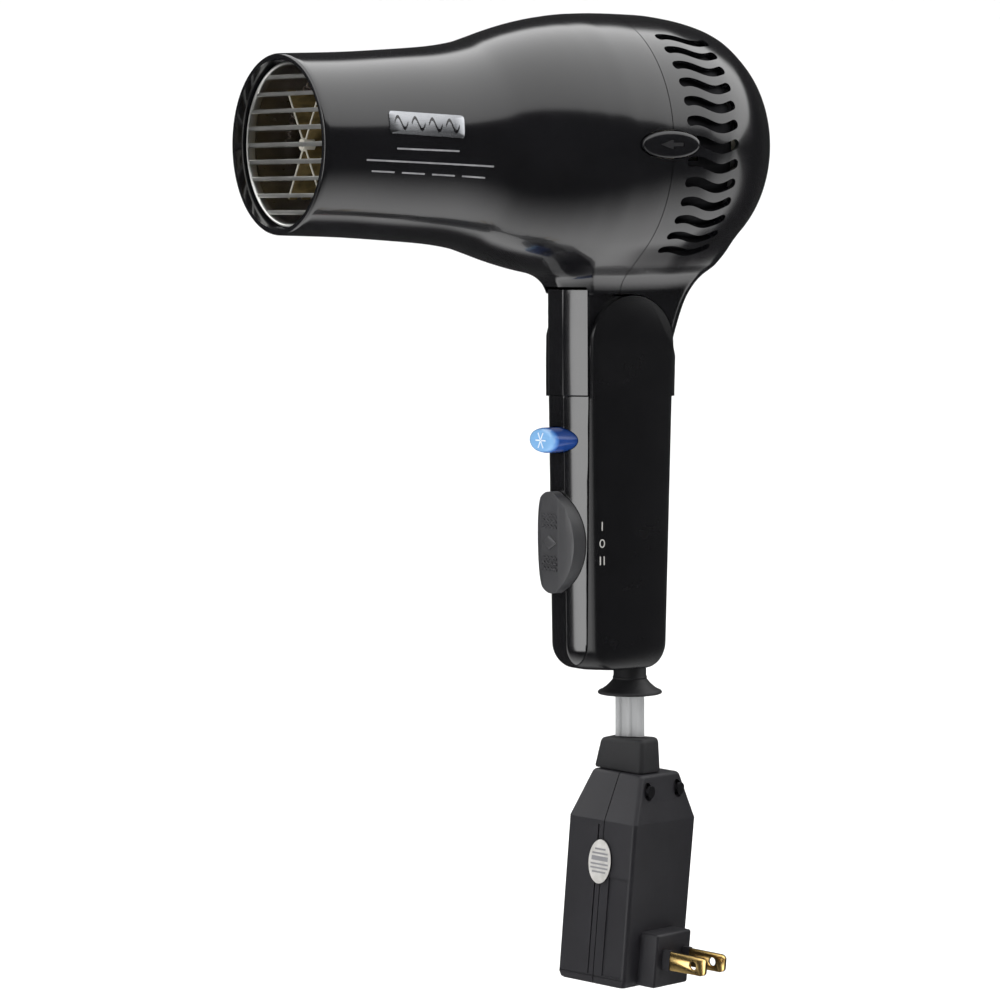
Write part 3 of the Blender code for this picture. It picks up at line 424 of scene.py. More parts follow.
def prism(name, outline, low, high, matrix=None):
    points = [(x, y, low) for x, y in outline] + [(x, y, high) for x, y in outline]
    return from_points(name, points, slab_faces(len(outline)), matrix)


def oblong(left, low, right, high):
    return [(left, low), (right, low), (right, high), (left, high)]


def block(name, low, high, matrix=None):
    return prism(name, oblong(*low[:2], *high[:2]), low[2], high[2], matrix)


def rings_mesh(name, rings, matrix=None):
    count = len(rings[0])
    points = [p for ring in rings for p in ring]
    faces = []
    for row in range(len(rings) - 1):
        a, b = row * count, (row + 1) * count
        faces += [(a + i, a + (i + 1) % count, b + (i + 1) % count, b + i) for i in range(count)]
    faces += [tuple(range(count))[::-1], tuple(range(len(points) - count, len(points)))]
    return from_points(name, points, faces, matrix)


def turned(name, profile, steps, matrix=None, looped=False):
    """Turns (radius, height) points about the third axis."""
    rings = []
    for step in range(steps):
        a = 2 * math.pi * step / steps
        rings.append([(r * math.cos(a), r * math.sin(a), z) for r, z in profile])
    count = len(profile)
    points = [p for ring in rings for p in ring]
    faces = []
    for row in range(steps):
        a, b = row * count, ((row + 1) % steps) * count
        for i in range(count if looped else count - 1):
            faces.append((a + i, b + i, b + (i + 1) % count, a + (i + 1) % count))
    obj = from_points(name, points, faces, matrix)
    weld(obj.data, 0.002)
    return obj


def weld(mesh, distance):
    work = bmesh.new()
    work.from_mesh(mesh)
    bmesh.ops.remove_doubles(work, verts=work.verts, dist=distance * MM)
    bmesh.ops.dissolve_degenerate(work, dist=0.0005 * MM, edges=work.edges)
    bmesh.ops.recalc_face_normals(work, faces=work.faces)
    work.to_mesh(mesh)
    work.free()


def settle(obj):
    """Turns the modifiers into plain mesh."""
    graph = bpy.context.evaluated_depsgraph_get()
    mesh = bpy.data.meshes.new_from_object(obj.evaluated_get(graph))
    obj.modifiers.clear()
    obj.data = mesh
    shade(mesh)
    return obj


def cut(obj, tool, operation="DIFFERENCE", keep=False):
    modifier = obj.modifiers.new("cut", "BOOLEAN")
    modifier.operation, modifier.solver, modifier.object = operation, "EXACT", tool
    settle(obj)
    if not keep:
        bpy.data.objects.remove(tool)
    return obj


def soften(obj, width, segments=2, angle=30.0):
    modifier = obj.modifiers.new("soft_edges", "BEVEL")
    modifier.width, modifier.segments, modifier.limit_method = width * MM, segments, "ANGLE"
    modifier.angle_limit = math.radians(angle)
    return settle(obj)


def merged(name, parts):
    """One object out of several, without a Boolean."""
    work = bmesh.new()
    for part in parts:
        work.from_mesh(part.data)
        bpy.data.objects.remove(part)
    mesh = bpy.data.meshes.new(name)
    work.to_mesh(mesh)
    work.free()
    return new_object(name, mesh)


def tube(name, path, radius, sides):
    """A round tube along a path, its sections carried along without twist."""
    line = [Vector(p) for p in path]
    count = len(line)
    tangents = [(line[min(i + 1, count - 1)] - line[max(i - 1, 0)]).normalized() for i in range(count)]
    normal = tangents[0].orthogonal().normalized()
    rings = []
    for here, tangent in zip(line, tangents):
        normal = (normal - tangent * normal.dot(tangent)).normalized()
        across = tangent.cross(normal)
        rings.append([tuple(here + (normal * math.cos(a) + across * math.sin(a)) * radius)
                      for a in (2 * math.pi * k / sides for k in range(sides))])
    return rings_mesh(name, rings)


def arc(centre, radius, start, end, count):
    return [(centre[0] + radius * math.cos(math.radians(start + (end - start) * i / count)),
             centre[1] + radius * math.sin(math.radians(start + (end - start) * i / count)))
            for i in range(count + 1)]


def stadium(length, height):
    half = (length - height) / 2
    return arc((half, 0), height / 2, -90, 90, 10) + arc((-half, 0), height / 2, 90, 270, 10)


def oval(half_width, half_height, count):
    return [(half_width * math.cos(2 * math.pi * i / count), half_height * math.sin(2 * math.pi * i / count))
            for i in range(count)]


def smooth_curve(table, count):
    """Points along a smooth curve through the table, evenly spread."""
    given = np.array(table, float)
    steps = np.concatenate([[0.0], np.cumsum(np.hypot(*np.diff(given, axis=0).T))])
    wanted = np.linspace(0.0, steps[-1], count)
    return np.stack([monotone(steps, given[:, k], wanted) for k in range(given.shape[1])], axis=1)


def monotone(places, values, wanted):
    """Cubic interpolation that never overshoots its table."""
    step, rise = np.diff(places), np.diff(values)
    slope = rise / step
    ends = np.zeros(len(values))
    same = slope[:-1] * slope[1:] > 0
    weight_a, weight_b = 2 * step[1:] + step[:-1], step[1:] + 2 * step[:-1]
    inner = np.zeros(len(slope) - 1)
    inner[same] = ((weight_a + weight_b)[same]
                   / (weight_a[same] / slope[:-1][same] + weight_b[same] / slope[1:][same]))
    ends[1:-1] = inner
    ends[0], ends[-1] = slope[0], slope[-1]
    k = np.clip(np.searchsorted(places, wanted) - 1, 0, len(step) - 1)
    t = (wanted - places[k]) / step[k]
    return (values[k] * (1 + 2 * t) * (1 - t) ** 2 + ends[k] * step[k] * t * (1 - t) ** 2
            + values[k + 1] * t ** 2 * (3 - 2 * t) + ends[k + 1] * step[k] * t ** 2 * (t - 1))


# Housings


# Barrel: X, radius. Neck: height over the hinge, front X, rear X, half width
BARREL = [
    (-134.5, 30.0), (-114.0, 30.7), (-89.0, 32.3), (-76.0, 33.4), (-64.0, 35.3), (-57.5, 37.2),
    (-51.0, 39.3), (-44.5, 41.2), (-38.0, 42.8), (-30.0, 44.3), (-20.0, 45.5), (-7.0, 46.0),
    (8.0, 45.8), (19.0, 44.7), (29.0, 42.7), (35.0, 40.6), (40.0, 37.4), (45.0, 33.2),
    (50.0, 26.5), (53.5, 19.5), (56.0, 12.0), (57.0, 5.0),
]
NECK = np.array([
    (-6.0, -19.8, 17.6, 14.25), (0.7, -20.5, 19.2, 14.25), (8.5, -21.5, 21.8, 14.25),
    (14.0, -22.6, 24.0, 14.25), (18.0, -23.4, 26.2, 14.4), (20.5, -24.1, 27.8, 14.9), (24.0, -25.0, 30.2, 16.4),
    (28.0, -27.2, 33.6, 19.5), (34.0, -35.0, 35.0, 22.0), (42.0, -35.0, 35.0, 22.0),
])
NECK_CORNER, NECK_FOOT, NECK_HEAD = 5.0, -4.0, 45.0
# Bulged front of the handle and the neck: share of the half width, depth behind the front
BULGE = np.array([(0.0, 0.0), (0.28, 0.0), (0.34, 0.35), (0.82, 4.75),
                  (0.875, 5.4), (0.93, 6.15), (0.97, 7.0), (1.0, 8.2)])
FLANK_FOOT, FLANK_HEAD = BULGE[2], BULGE[3]
FLANK_END_SHARE, FACE_END_SHARE = 0.835, 0.81
WALL, BLEND, NOZZLE_RIM = 1.9, 7.0, 0.7
SKIN_REACH, HALVINGS = 80.0, 34
DOME_X = 37.0
PROFILE = smooth_curve(BARREL, 900)


def barrel_radius(x):
    return np.interp(x, PROFILE[:, 0], PROFILE[:, 1])


def neck_distance(x, y, z):
    """Distance from the neck's rounded column, with z measured from the hinge."""
    inside = np.clip(z, NECK[0, 0], NECK[-1, 0])
    front, rear, half = (monotone(NECK[:, 0], NECK[:, k], inside) for k in (1, 2, 3))
    across_x = np.abs(x - (front + rear) / 2) - (rear - front) / 2 + NECK_CORNER
    across_y = np.abs(y) - half + NECK_CORNER
    outside = np.hypot(np.maximum(across_x, 0), np.maximum(across_y, 0))
    flat = outside + np.minimum(np.maximum(across_x, across_y), 0) - NECK_CORNER
    run, rise = (FLANK_HEAD[0] - FLANK_FOOT[0]) * half, FLANK_HEAD[1] - FLANK_FOOT[1]
    beside, behind = np.abs(y) - FLANK_FOOT[0] * half, x - front - FLANK_FOOT[1]
    flank = (rise * beside - run * behind) / np.hypot(run, rise)
    return np.maximum(np.maximum(flat, flank), np.maximum(NECK_FOOT - z, z - NECK_HEAD))


def front_profile(half):
    """The bulged front from side to side, as (depth, across)."""
    shares = np.concatenate([np.linspace(1.0, FLANK_END_SHARE, 10), np.linspace(FACE_END_SHARE, 0.0, 21)])
    points = [(float(d), float(share) * half)
              for d, share in zip(monotone(BULGE[:, 0], BULGE[:, 1], shares), shares)]
    return points + [(x, -y) for x, y in points[-2::-1]]


def skin_radius(x, angle):
    """Radius of the blended skin of barrel and neck, for each x and each angle from straight down."""
    low = np.zeros_like(x)
    high = np.full_like(x, SKIN_REACH)
    for _ in range(HALVINGS):
        middle = (low + high) / 2
        barrel = middle - barrel_radius(x)
        neck = neck_distance(x, middle * np.sin(angle), BARREL_Z - HINGE_Z - middle * np.cos(angle))
        share = np.clip(0.5 + 0.5 * (neck - barrel) / BLEND, 0, 1)
        value = neck * (1 - share) + barrel * share - BLEND * share * (1 - share)
        outside = value > 0
        high = np.where(outside, middle, high)
        low = np.where(outside, low, middle)
    return (low + high) / 2


def housing_rows():
    """X of the rings, finer where the neck joins, and the profile's own points at the dome."""
    spans = [(-134.5, -44.0, 2.2), (-44.0, -17.0, 0.55), (-17.0, 17.0, 1.6), (17.0, DOME_X, 0.6)]
    rows = [x for start, end, step in spans for x in np.arange(start, end, step)]
    dome = PROFILE[PROFILE[:, 0] >= DOME_X][::4, 0]
    return np.array(rows + list(dome))


def housing_angles():
    near = np.radians(np.concatenate([np.arange(0, 9, 1.5), np.arange(9, 27, 0.45), np.arange(27, 180, 2.4)]))
    return np.concatenate([near, 2 * np.pi - near[::-1][:-1]])


def housing_solid(name):
    rows, angles = housing_rows(), housing_angles()
    grid_x, grid_a = np.meshgrid(rows, angles, indexing="ij")
    radius = skin_radius(grid_x, grid_a)

    def ring(x, reach):
        return [(x, r * math.sin(a), BARREL_Z - r * math.cos(a)) for r, a in zip(reach, angles)]

    rings = []
    for turn in (90, 60, 30):
        flat = radius[0] - NOZZLE_RIM + NOZZLE_RIM * math.cos(math.radians(turn))
        rings.append(ring(NOZZLE_X + NOZZLE_RIM * (1 - math.sin(math.radians(turn))), flat))
    rings += [ring(max(x, NOZZLE_X + NOZZLE_RIM), reach) for x, reach in zip(rows, radius)]
    return rings_mesh(name, rings)


VENT_X, VENT_LENGTH, VENT_WIDTH, VENT_SWING = 11.7, 23.0, 3.4, 1.3
VENT_COUNT, VENT_SPREAD, VENT_FLOOR, VENT_CEILING = 13, 52.5, 38.0, 60.0
WAVES, WAVE_START = 1.05, 0.09


def wave_outline(length, width, swing, count):
    """A band that follows a wave, with round ends, centred on the origin."""
    line = []
    for i in range(count + 1):
        x = -length / 2 + width / 2 + (length - width) * i / count
        phase = 2 * math.pi * (x / length * WAVES + WAVE_START)
        line.append((x, -swing * math.sin(phase)))
    top, bottom = [], []
    for i, (x, y) in enumerate(line):
        a, b = line[max(i - 1, 0)], line[min(i + 1, count)]
        lean = math.atan2(b[1] - a[1], b[0] - a[0])
        top.append((x - math.sin(lean) * width / 2, y + math.cos(lean) * width / 2))
        bottom.append((x + math.sin(lean) * width / 2, y - math.cos(lean) * width / 2))
    (x0, y0), (x1, y1) = line[0], line[-1]
    lean0 = math.degrees(math.atan2(line[1][1] - y0, line[1][0] - x0))
    lean1 = math.degrees(math.atan2(y1 - line[-2][1], x1 - line[-2][0]))
    right = arc((x1, y1), width / 2, lean1 - 90, lean1 + 90, 8)
    left = arc((x0, y0), width / 2, lean0 + 90, lean0 + 270, 8)
    return bottom[1:-1] + right + top[1:-1][::-1] + left


def vent_tools():
    tools = []
    outline = wave_outline(VENT_LENGTH, VENT_WIDTH, VENT_SWING, 28)
    for side in (-1, 1):
        for i in range(VENT_COUNT):
            tilt = math.radians(-VENT_SPREAD + 2 * VENT_SPREAD * i / (VENT_COUNT - 1))
            direction = Vector((0, side * math.cos(tilt), math.sin(tilt)))
            across = Vector((0, -side * math.sin(tilt), math.cos(tilt)))
            place = Matrix(((1, 0, 0, VENT_X * MM), (0, across.y, direction.y, 0),
                            (0, across.z, direction.z, BARREL_Z * MM), (0, 0, 0, 1)))
            tools.append(prism(f"vent_tool_{side}_{i}", outline, VENT_FLOOR, VENT_CEILING, place))
    return tools


# Room in the neck: height over the hinge and the rear X of the room at it
NECK_ROOM = [(-12.0, 16.6), (0.7, 16.9), (8.5, 19.4), (14.0, 21.6), (20.0, 24.6), (45.0, 24.6)]
NECK_ROOM_FRONT, NECK_ROOM_HALF, NECK_ROOM_BULGE = -22.6, 12.7, 14.2


def neck_hollow():
    """Room for the handle's front strip to swing in."""
    half = NECK_ROOM_HALF
    bulge = [(x + NECK_ROOM_FRONT, y) for x, y in front_profile(NECK_ROOM_BULGE) if abs(y) < half]
    rings = []
    for height, back in NECK_ROOM:
        rings.append([(x, y, HINGE_Z + height) for x, y in bulge + [(back, -half), (back, half)]])
    return rings_mesh("neck_hollow", rings)


LIP_Z, FRONT_SIDE_Z, FRONT_LIP_Z = HINGE_Z + 0.7, HINGE_Z + 17.9, HINGE_Z + 20.5
CHEEK_ROOM, INNER_END, INNER_TIP = 17.7, 53.0, 54.6
REWIND_HALF, BUTTON_ROOM = (12.0, 4.6), 0.35
FAR = 80


def housings():
    solid = housing_solid("housing_skin")
    inner = [(x, r - WALL) for x, r in PROFILE[::6] if x < INNER_END]
    inner = [(NOZZLE_X - 1.0, inner[0][1])] + inner + [(INNER_TIP, inner[-1][1] - 3.0)]
    profile = [(0.0, inner[0][0])] + [(r, x) for x, r in inner] + [(0.0, inner[-1][0])]
    tools = [turned("barrel_hollow", profile, 96, BARREL_TURN), neck_hollow(),
             block("side_lip", (-60, -40, 20), (60, 40, LIP_Z)),
             block("front_lip", (-60, -13, 20), (0, 13, FRONT_LIP_Z)),
             block("front_sides", (-60, -40, 20), (0, 40, FRONT_SIDE_Z)),
             prism("cheek_room", oval(CHEEK_ROOM, CHEEK_ROOM, 96), -40, 40, HINGE_ACROSS),
             prism("button_room", oval(REWIND_HALF[0] + BUTTON_ROOM, REWIND_HALF[1] + BUTTON_ROOM, 64), 30, 60,
                   REWIND_FACE),
             merged("vent_tools", vent_tools())]
    for tool in tools:
        cut(solid, tool)
    for name, node, low, high in (("front_shell", "front_housing", -150, SPLIT_X),
                                  ("rear_shell", "rear_housing", SPLIT_X + GAP, FAR)):
        shell = new_object(name, solid.data.copy())
        cut(shell, block(name + "_half", (low, -FAR, 0), (high, FAR, 200)), "INTERSECT")
        finish_piece(shell, "gloss_black", "barrel", node)
    bpy.data.objects.remove(solid)


# Air outlet, badge and rewind button


BAR_COUNT, BAR_PITCH, BAR_REACH = 9, 5.6, 26.6
BAR_HALF_THICK, BAR_HALF_THIN = 0.8, 0.7
FIN_REACH, FIN_NOTCH, FIN_NOTCHES, FIN_HALF_THICKNESS = 20.8, 19.6, 11, 0.3
TOOTH_SHARE, TOOTH_LEAN = 0.55, 0.4
COIL_TURNS, COIL_LOOPS, COIL_STEPS, COIL_LOOP_RADIUS, WIRE_RADIUS = 7, 62, 6, 1.0, 0.22


def outlet_grille():
    """A rolled rim and nine rounded bars, the middle three a little thicker."""
    front, back = low_mm("outlet_grille").x, high_mm("outlet_grille").x
    ring_profile = [(26.2, back), (26.2, front + 0.6), (26.4, front + 0.2), (26.8, front),
                    (27.2, front + 0.1), (27.5, front + 0.5), (27.6, front + 1.0), (27.6, back)]
    parts = [turned("outlet_ring", ring_profile, 96, BARREL_TURN, looped=True)]
    for i in range(BAR_COUNT):
        row = i - BAR_COUNT // 2
        z = row * BAR_PITCH
        reach = math.sqrt(BAR_REACH ** 2 - z ** 2)
        half = BAR_HALF_THICK if abs(row) < 2 else BAR_HALF_THIN
        section = [(front + 0.7, z - half), (front + 0.35, z - half + 0.3), (front + 0.35, z + half - 0.3),
                   (front + 0.7, z + half), (back - 0.3, z + half * 0.8), (back - 0.3, z - half * 0.8)]
        rings = [[(px, y, BARREL_Z + pz) for px, pz in section] for y in np.linspace(-reach, reach, 7)]
        parts.append(rings_mesh(f"outlet_bar_{i}", rings))
    finish_piece(merged("outlet_bars", parts), "pale_metal", "barrel", "outlet_grille")


def mica_frame():
    """Three crossed sheets with toothed edges, and the pale ends and hub that show behind the grille."""
    start, end = low_mm("mica_frame").x, high_mm("mica_frame").x
    pitch = (end - start) / FIN_NOTCHES
    fins = []
    for k, tilt in enumerate((0, 60, 120)):
        edge = []
        for j in range(FIN_NOTCHES):
            a = start + (end - start) * j / FIN_NOTCHES
            b = start + (end - start) * (j + TOOTH_SHARE) / FIN_NOTCHES
            edge += [(a, FIN_REACH), (b, FIN_REACH), (b + TOOTH_LEAN, FIN_NOTCH),
                     (a + pitch - TOOTH_LEAN, FIN_NOTCH)]
        edge[-2:] = [(end, FIN_REACH)]
        outline = edge + [(x, -r) for x, r in edge[::-1]]
        place = at(z=BARREL_Z) @ Matrix.Rotation(math.radians(tilt), 4, "X")
        fins.append(prism(f"fin_{k}", outline, -FIN_HALF_THICKNESS, FIN_HALF_THICKNESS, place))
    finish_piece(merged("mica_cross", fins), "mica", "barrel", "mica_frame")
    edges = []
    for k in range(6):
        a = math.radians(60 * k)
        path = [(start - 0.1, reach * math.cos(a), BARREL_Z + reach * math.sin(a)) for reach in (1.5, 20.4)]
        edges.append(tube(f"fin_edge_{k}", path, 0.34, 6))
    hub = [(0.0, start - 1.2), (1.9, start - 1.2), (2.2, start - 0.6), (2.2, start + 3.0), (0.0, start + 3.0)]
    edges.append(turned("mica_hub", hub, 24, BARREL_TURN))
    finish_piece(merged("mica_edges", edges), "ivory_plastic", "barrel")


def heater_coil():
    """A fine coil of wire, itself wound around the mica frame."""
    low, high = low_mm("heater_coil"), high_mm("heater_coil")
    radius = (high.z - low.z) / 2 - 1.3
    inset = 2.2
    path = []
    steps = COIL_TURNS * COIL_LOOPS * COIL_STEPS
    for i in range(steps + 1):
        share = i / steps
        major = 2 * math.pi * COIL_TURNS * share
        minor = 2 * math.pi * COIL_TURNS * COIL_LOOPS * share
        r = radius + COIL_LOOP_RADIUS * math.cos(minor)
        x = low.x + inset + (high.x - low.x - 2 * inset) * share + COIL_LOOP_RADIUS * math.sin(minor)
        path.append((x, r * math.cos(major), BARREL_Z + r * math.sin(major)))
    finish_piece(tube("heater_winding", path, WIRE_RADIUS, 4), "heating_wire", "barrel", "heater_coil")


BADGE_X, BADGE_TURN, BADGE_TILT = -95.9, math.radians(11.4), math.radians(-4.0)
BADGE_HALF_LENGTH, BADGE_HALF_WIDTH, BADGE_CORNER, BADGE_LIFT, BADGE_DEPTH = 14.0, 3.8, 1.3, 0.42, 0.3
WAVE_COUNT, WAVE_PITCH, WAVE_LENGTH, WAVE_SWING, WAVE_HALF_WIDTH = 4, 6.4, 5.0, 1.9, 0.55
# Printed rules: distance round the barrel under the badge, left end, right end; the third is broken in four
RULES = [(-7.7, -11.0, 12.4), (-12.0, -22.2, 25.6), (-15.8, -19.8, 24.4)]
RULE_HALF_WIDTH, RULE_TURN, RULE_TILT, RULE_X = 0.28, BADGE_TURN - 0.02, -0.03, BADGE_X - 0.5
DASH_PITCH, DASH_LENGTH = 11.4, 8.6


def on_barrel(x, across, lift, turn):
    """A point on the skin at X, a distance around it and a height over it, on the near side."""
    r = float(barrel_radius(x))
    a = turn + across / r
    return (x, -(r + lift) * math.cos(a), BARREL_Z + (r + lift) * math.sin(a))


def tilted(u, v, tilt):
    return u * math.cos(tilt) - v * math.sin(tilt), u * math.sin(tilt) + v * math.cos(tilt)


def skin_patch(name, outline, lift, depth, turn, tilt, centre=BADGE_X):
    """A plate that follows the barrel: an outline in (along, around), raised over the skin."""
    placed = [tilted(u, v, tilt) for u, v in outline]
    points = [on_barrel(centre + along, across, height, turn)
              for height in (lift - depth, lift) for along, across in placed]
    obj = from_points(name, points, slab_faces(len(outline)))
    triangulate(obj.data)
    return obj


def triangulate(mesh):
    work = bmesh.new()
    work.from_mesh(mesh)
    bmesh.ops.triangulate(work, faces=[f for f in work.faces if len(f.verts) > 4])
    work.to_mesh(mesh)
    work.free()


def badge_plate():
    """A rounded rectangle that follows the barrel, as a fine grid with a soft rim."""
    u, v = BADGE_HALF_LENGTH - BADGE_CORNER, BADGE_HALF_WIDTH - BADGE_CORNER
    outline = [point for centre, start in (((u, v), 0), ((-u, v), 90), ((-u, -v), 180), ((u, -v), 270))
               for point in arc(centre, BADGE_CORNER, start, start + 90, 6)]
    dense = []
    for (u0, v0), (u1, v1) in zip(outline, outline[1:] + outline[:1]):
        pieces = max(1, int(math.hypot(u1 - u0, v1 - v0) / 1.2))
        dense += [(u0 + (u1 - u0) * k / pieces, v0 + (v1 - v0) * k / pieces) for k in range(pieces)]
    rings = []
    for share, height in ((1.0, BADGE_LIFT - BADGE_DEPTH), (1.0, BADGE_LIFT - 0.12), (0.985, BADGE_LIFT),
                          (0.75, BADGE_LIFT), (0.5, BADGE_LIFT), (0.25, BADGE_LIFT), (0.04, BADGE_LIFT)):
        placed = [tilted(u * share, v * share, BADGE_TILT) for u, v in dense]
        rings.append([on_barrel(BADGE_X + along, across, height, BADGE_TURN) for along, across in placed])
    return rings_mesh("badge_foil", rings)


def badge():
    """A foil plate with a generic row of waves, and plain printed rules under it."""
    finish_piece(badge_plate(), "silver", "barrel", "badge")
    marks = []
    for k in range(WAVE_COUNT):
        left = -12.2 + WAVE_PITCH * k
        points = [(left + WAVE_LENGTH * t, WAVE_SWING * math.sin(2 * math.pi * t))
                  for t in np.linspace(0, 1, 17)]
        outline = ([(u, v + WAVE_HALF_WIDTH) for u, v in points]
                   + [(u, v - WAVE_HALF_WIDTH) for u, v in points[::-1]])
        marks.append(skin_patch(f"badge_wave_{k}", outline, 0.5, 0.1, BADGE_TURN, BADGE_TILT))
    finish_piece(merged("badge_waves", marks), "gloss_black", "barrel")
    rules = []
    for k, (across, left, right) in enumerate(RULES):
        bars = [(left, right)]
        if k == 2:
            starts = [left + DASH_PITCH * i for i in range(4)]
            bars = [(start, start + DASH_LENGTH) for start in starts]
        for i, (a, b) in enumerate(bars):
            outline = [(a + (b - a) * t, -RULE_HALF_WIDTH) for t in np.linspace(0, 1, 9)]
            outline += [(a + (b - a) * t, RULE_HALF_WIDTH) for t in np.linspace(1, 0, 9)]
            rules.append(skin_patch(f"rule_{k}_{i}", outline, 0.03, 0.06, RULE_TURN, RULE_TILT, RULE_X))
            move_round(rules[-1], across)
    finish_piece(merged("printed_rules", rules), "print_grey", "barrel")


def move_round(obj, across):
    """Turns a piece about the barrel's axis by a distance round the skin."""
    a = across / float(barrel_radius(BADGE_X))
    middle = at(z=BARREL_Z)
    obj.data.transform(middle @ Matrix.Rotation(-a, 4, "X") @ middle.inverted())


# Dome of the button: share of its size, depth under its top
REWIND_DOME = [(0.9, 3.6), (1.0, 3.3), (1.0, 1.0), (0.985, 0.6),
               (0.95, 0.3), (0.88, 0.12), (0.7, 0.04), (0.3, 0.0)]
ARROW = [(-5.2, 0.0), (0.4, 1.9), (0.4, 0.7), (4.8, 0.7), (4.8, -0.7), (0.4, -0.7), (0.4, -1.9)]


def rewind_button():
    """A domed oval with a sunk, filled arrow."""
    top = -low_mm("rewind_button").y
    rings = []
    for grow, depth in REWIND_DOME:
        inset = REWIND_HALF[1] * (1 - grow)
        outline = oval(REWIND_HALF[0] - inset, REWIND_HALF[1] - inset, 72)
        rings.append([(x, z, top - depth) for x, z in outline])
    button = rings_mesh("rewind_cap", rings, REWIND_FACE)
    cut(button, block("rewind_stem", (-1.1, -2.0, top - 6.3), (3.9, 2.0, top - 3.0), REWIND_FACE), "UNION")
    cut(button, prism("rewind_arrow", ARROW, top - 0.35, top + 2, REWIND_FACE))
    finish_piece(button, "gloss_black", "rewind_button", "rewind_button")
    fill = [(x * 0.94, z * 0.9) for x, z in ARROW]
    finish_piece(prism("rewind_mark", fill, top - 0.33, top - 0.12, REWIND_FACE), "rubber", "rewind_button")


# Handle and controls


CORNER, REAR_CORNER, GRIP_WALL = 9.0, 2.2, 2.0
HANDLE_FRONT_TOP, FRONT_TAPER = -22.7, 1.5
HANDLE_REAR_TOP, REAR_TAPER = 18.2, 3.6
REAR_INSET_SHARE, SIDE_INSET_SHARE = 0.7, 0.35
CHEEK_RADIUS, PIN_HOLE_RADIUS, PIN_HOLE_REACH = 17.3, 4.06, 13.4
SCREW_HEIGHTS = (HINGE_Z - 24.0, HINGE_Z - 92.0)
SCREW_RADIUS, SCREW_HEAD_RADIUS = 1.7, 3.1
COOL_HALF, COOL_ROOM = (8.4, 4.4), 0.4
STRIP_HALF, STRIP_THICKNESS, STRIP_SIDE_Y = 12.0, 2.6, 11.4
# Side of the strip from its front around the hinge, from the hinge
STRIP_SIDE = [(-17.4, -17.0), (-16.8, 19.6), (-12.0, 19.6), (-6.0, 17.2), (3.0, 16.6),
              (10.0, 12.5), (10.0, -5.0), (-12.0, -9.0), (-14.6, -17.0)]
# Dome of the cool button: X, share of its size
COOL_DOME = [(-19.5, 1.0), (-24.0, 1.0), (-27.4, 1.0), (-28.0, 0.975), (-28.6, 0.93), (-29.0, 0.85),
             (-29.25, 0.72), (-29.35, 0.45), (-29.4, 0.1)]
SLIDER_HALF, SLIDER_PROUD, SLIDER_GAP = (11.0, 17.8), 3.9, 0.35
RIB_HEIGHTS = (-9.3, -7.4, -5.5, 5.5, 7.4, 9.3)
RIB_START, RIB_STEP, RIB_HALF_WIDTH, RIB_LIFT = -4.4, 1.1, 0.32, 0.42
NUB = [(4.6, 0), (0, 2.5), (-4.6, 0), (0, -2.5)]
MARK_X, MARK_PITCH, MARK_HALF_WIDTH, MARK_HALF_HEIGHT = -13.4, 6.0, 0.22, 1.5
MARK_UNDER, MARK_OVER = 0.05, 0.04


def handle_edges(height):
    """Front X, rear X and half width of the grip at a height."""
    share = (HINGE_Z - height) / (HINGE_Z - HANDLE_BOTTOM)
    front = HANDLE_FRONT_TOP + FRONT_TAPER * share
    rear = HANDLE_REAR_TOP - REAR_TAPER * share
    left = height - HANDLE_BOTTOM
    inset = CORNER - math.sqrt(max(CORNER ** 2 - (CORNER - left) ** 2, 0.0)) if left < CORNER else 0.0
    return front + inset, rear - REAR_INSET_SHARE * inset, HANDLE_HALF - SIDE_INSET_SHARE * inset


def handle_ring(height, inset=0.0):
    front, rear, half = handle_edges(height)
    front, rear, half = front + inset, rear - inset, half - inset
    points = [(front + x, y, height) for x, y in front_profile(half)]
    for centre_y, start in ((-half + REAR_CORNER, 270), (half - REAR_CORNER, 0)):
        corner = arc((rear - REAR_CORNER, centre_y), REAR_CORNER, start, start + 90, 8)
        points += [(x, y, height) for x, y in corner]
    return points


def handle_solid(name, inset, top, bottom):
    straight = list(np.linspace(top, HANDLE_BOTTOM + CORNER + 1.0, 12))
    curve = [HANDLE_BOTTOM + CORNER * (1 - math.cos(a)) for a in np.linspace(math.pi / 2, 0.12, 12)]
    heights = straight + [h for h in curve if h > bottom + 0.05] + [bottom]
    return rings_mesh(name, [handle_ring(height, inset) for height in heights])


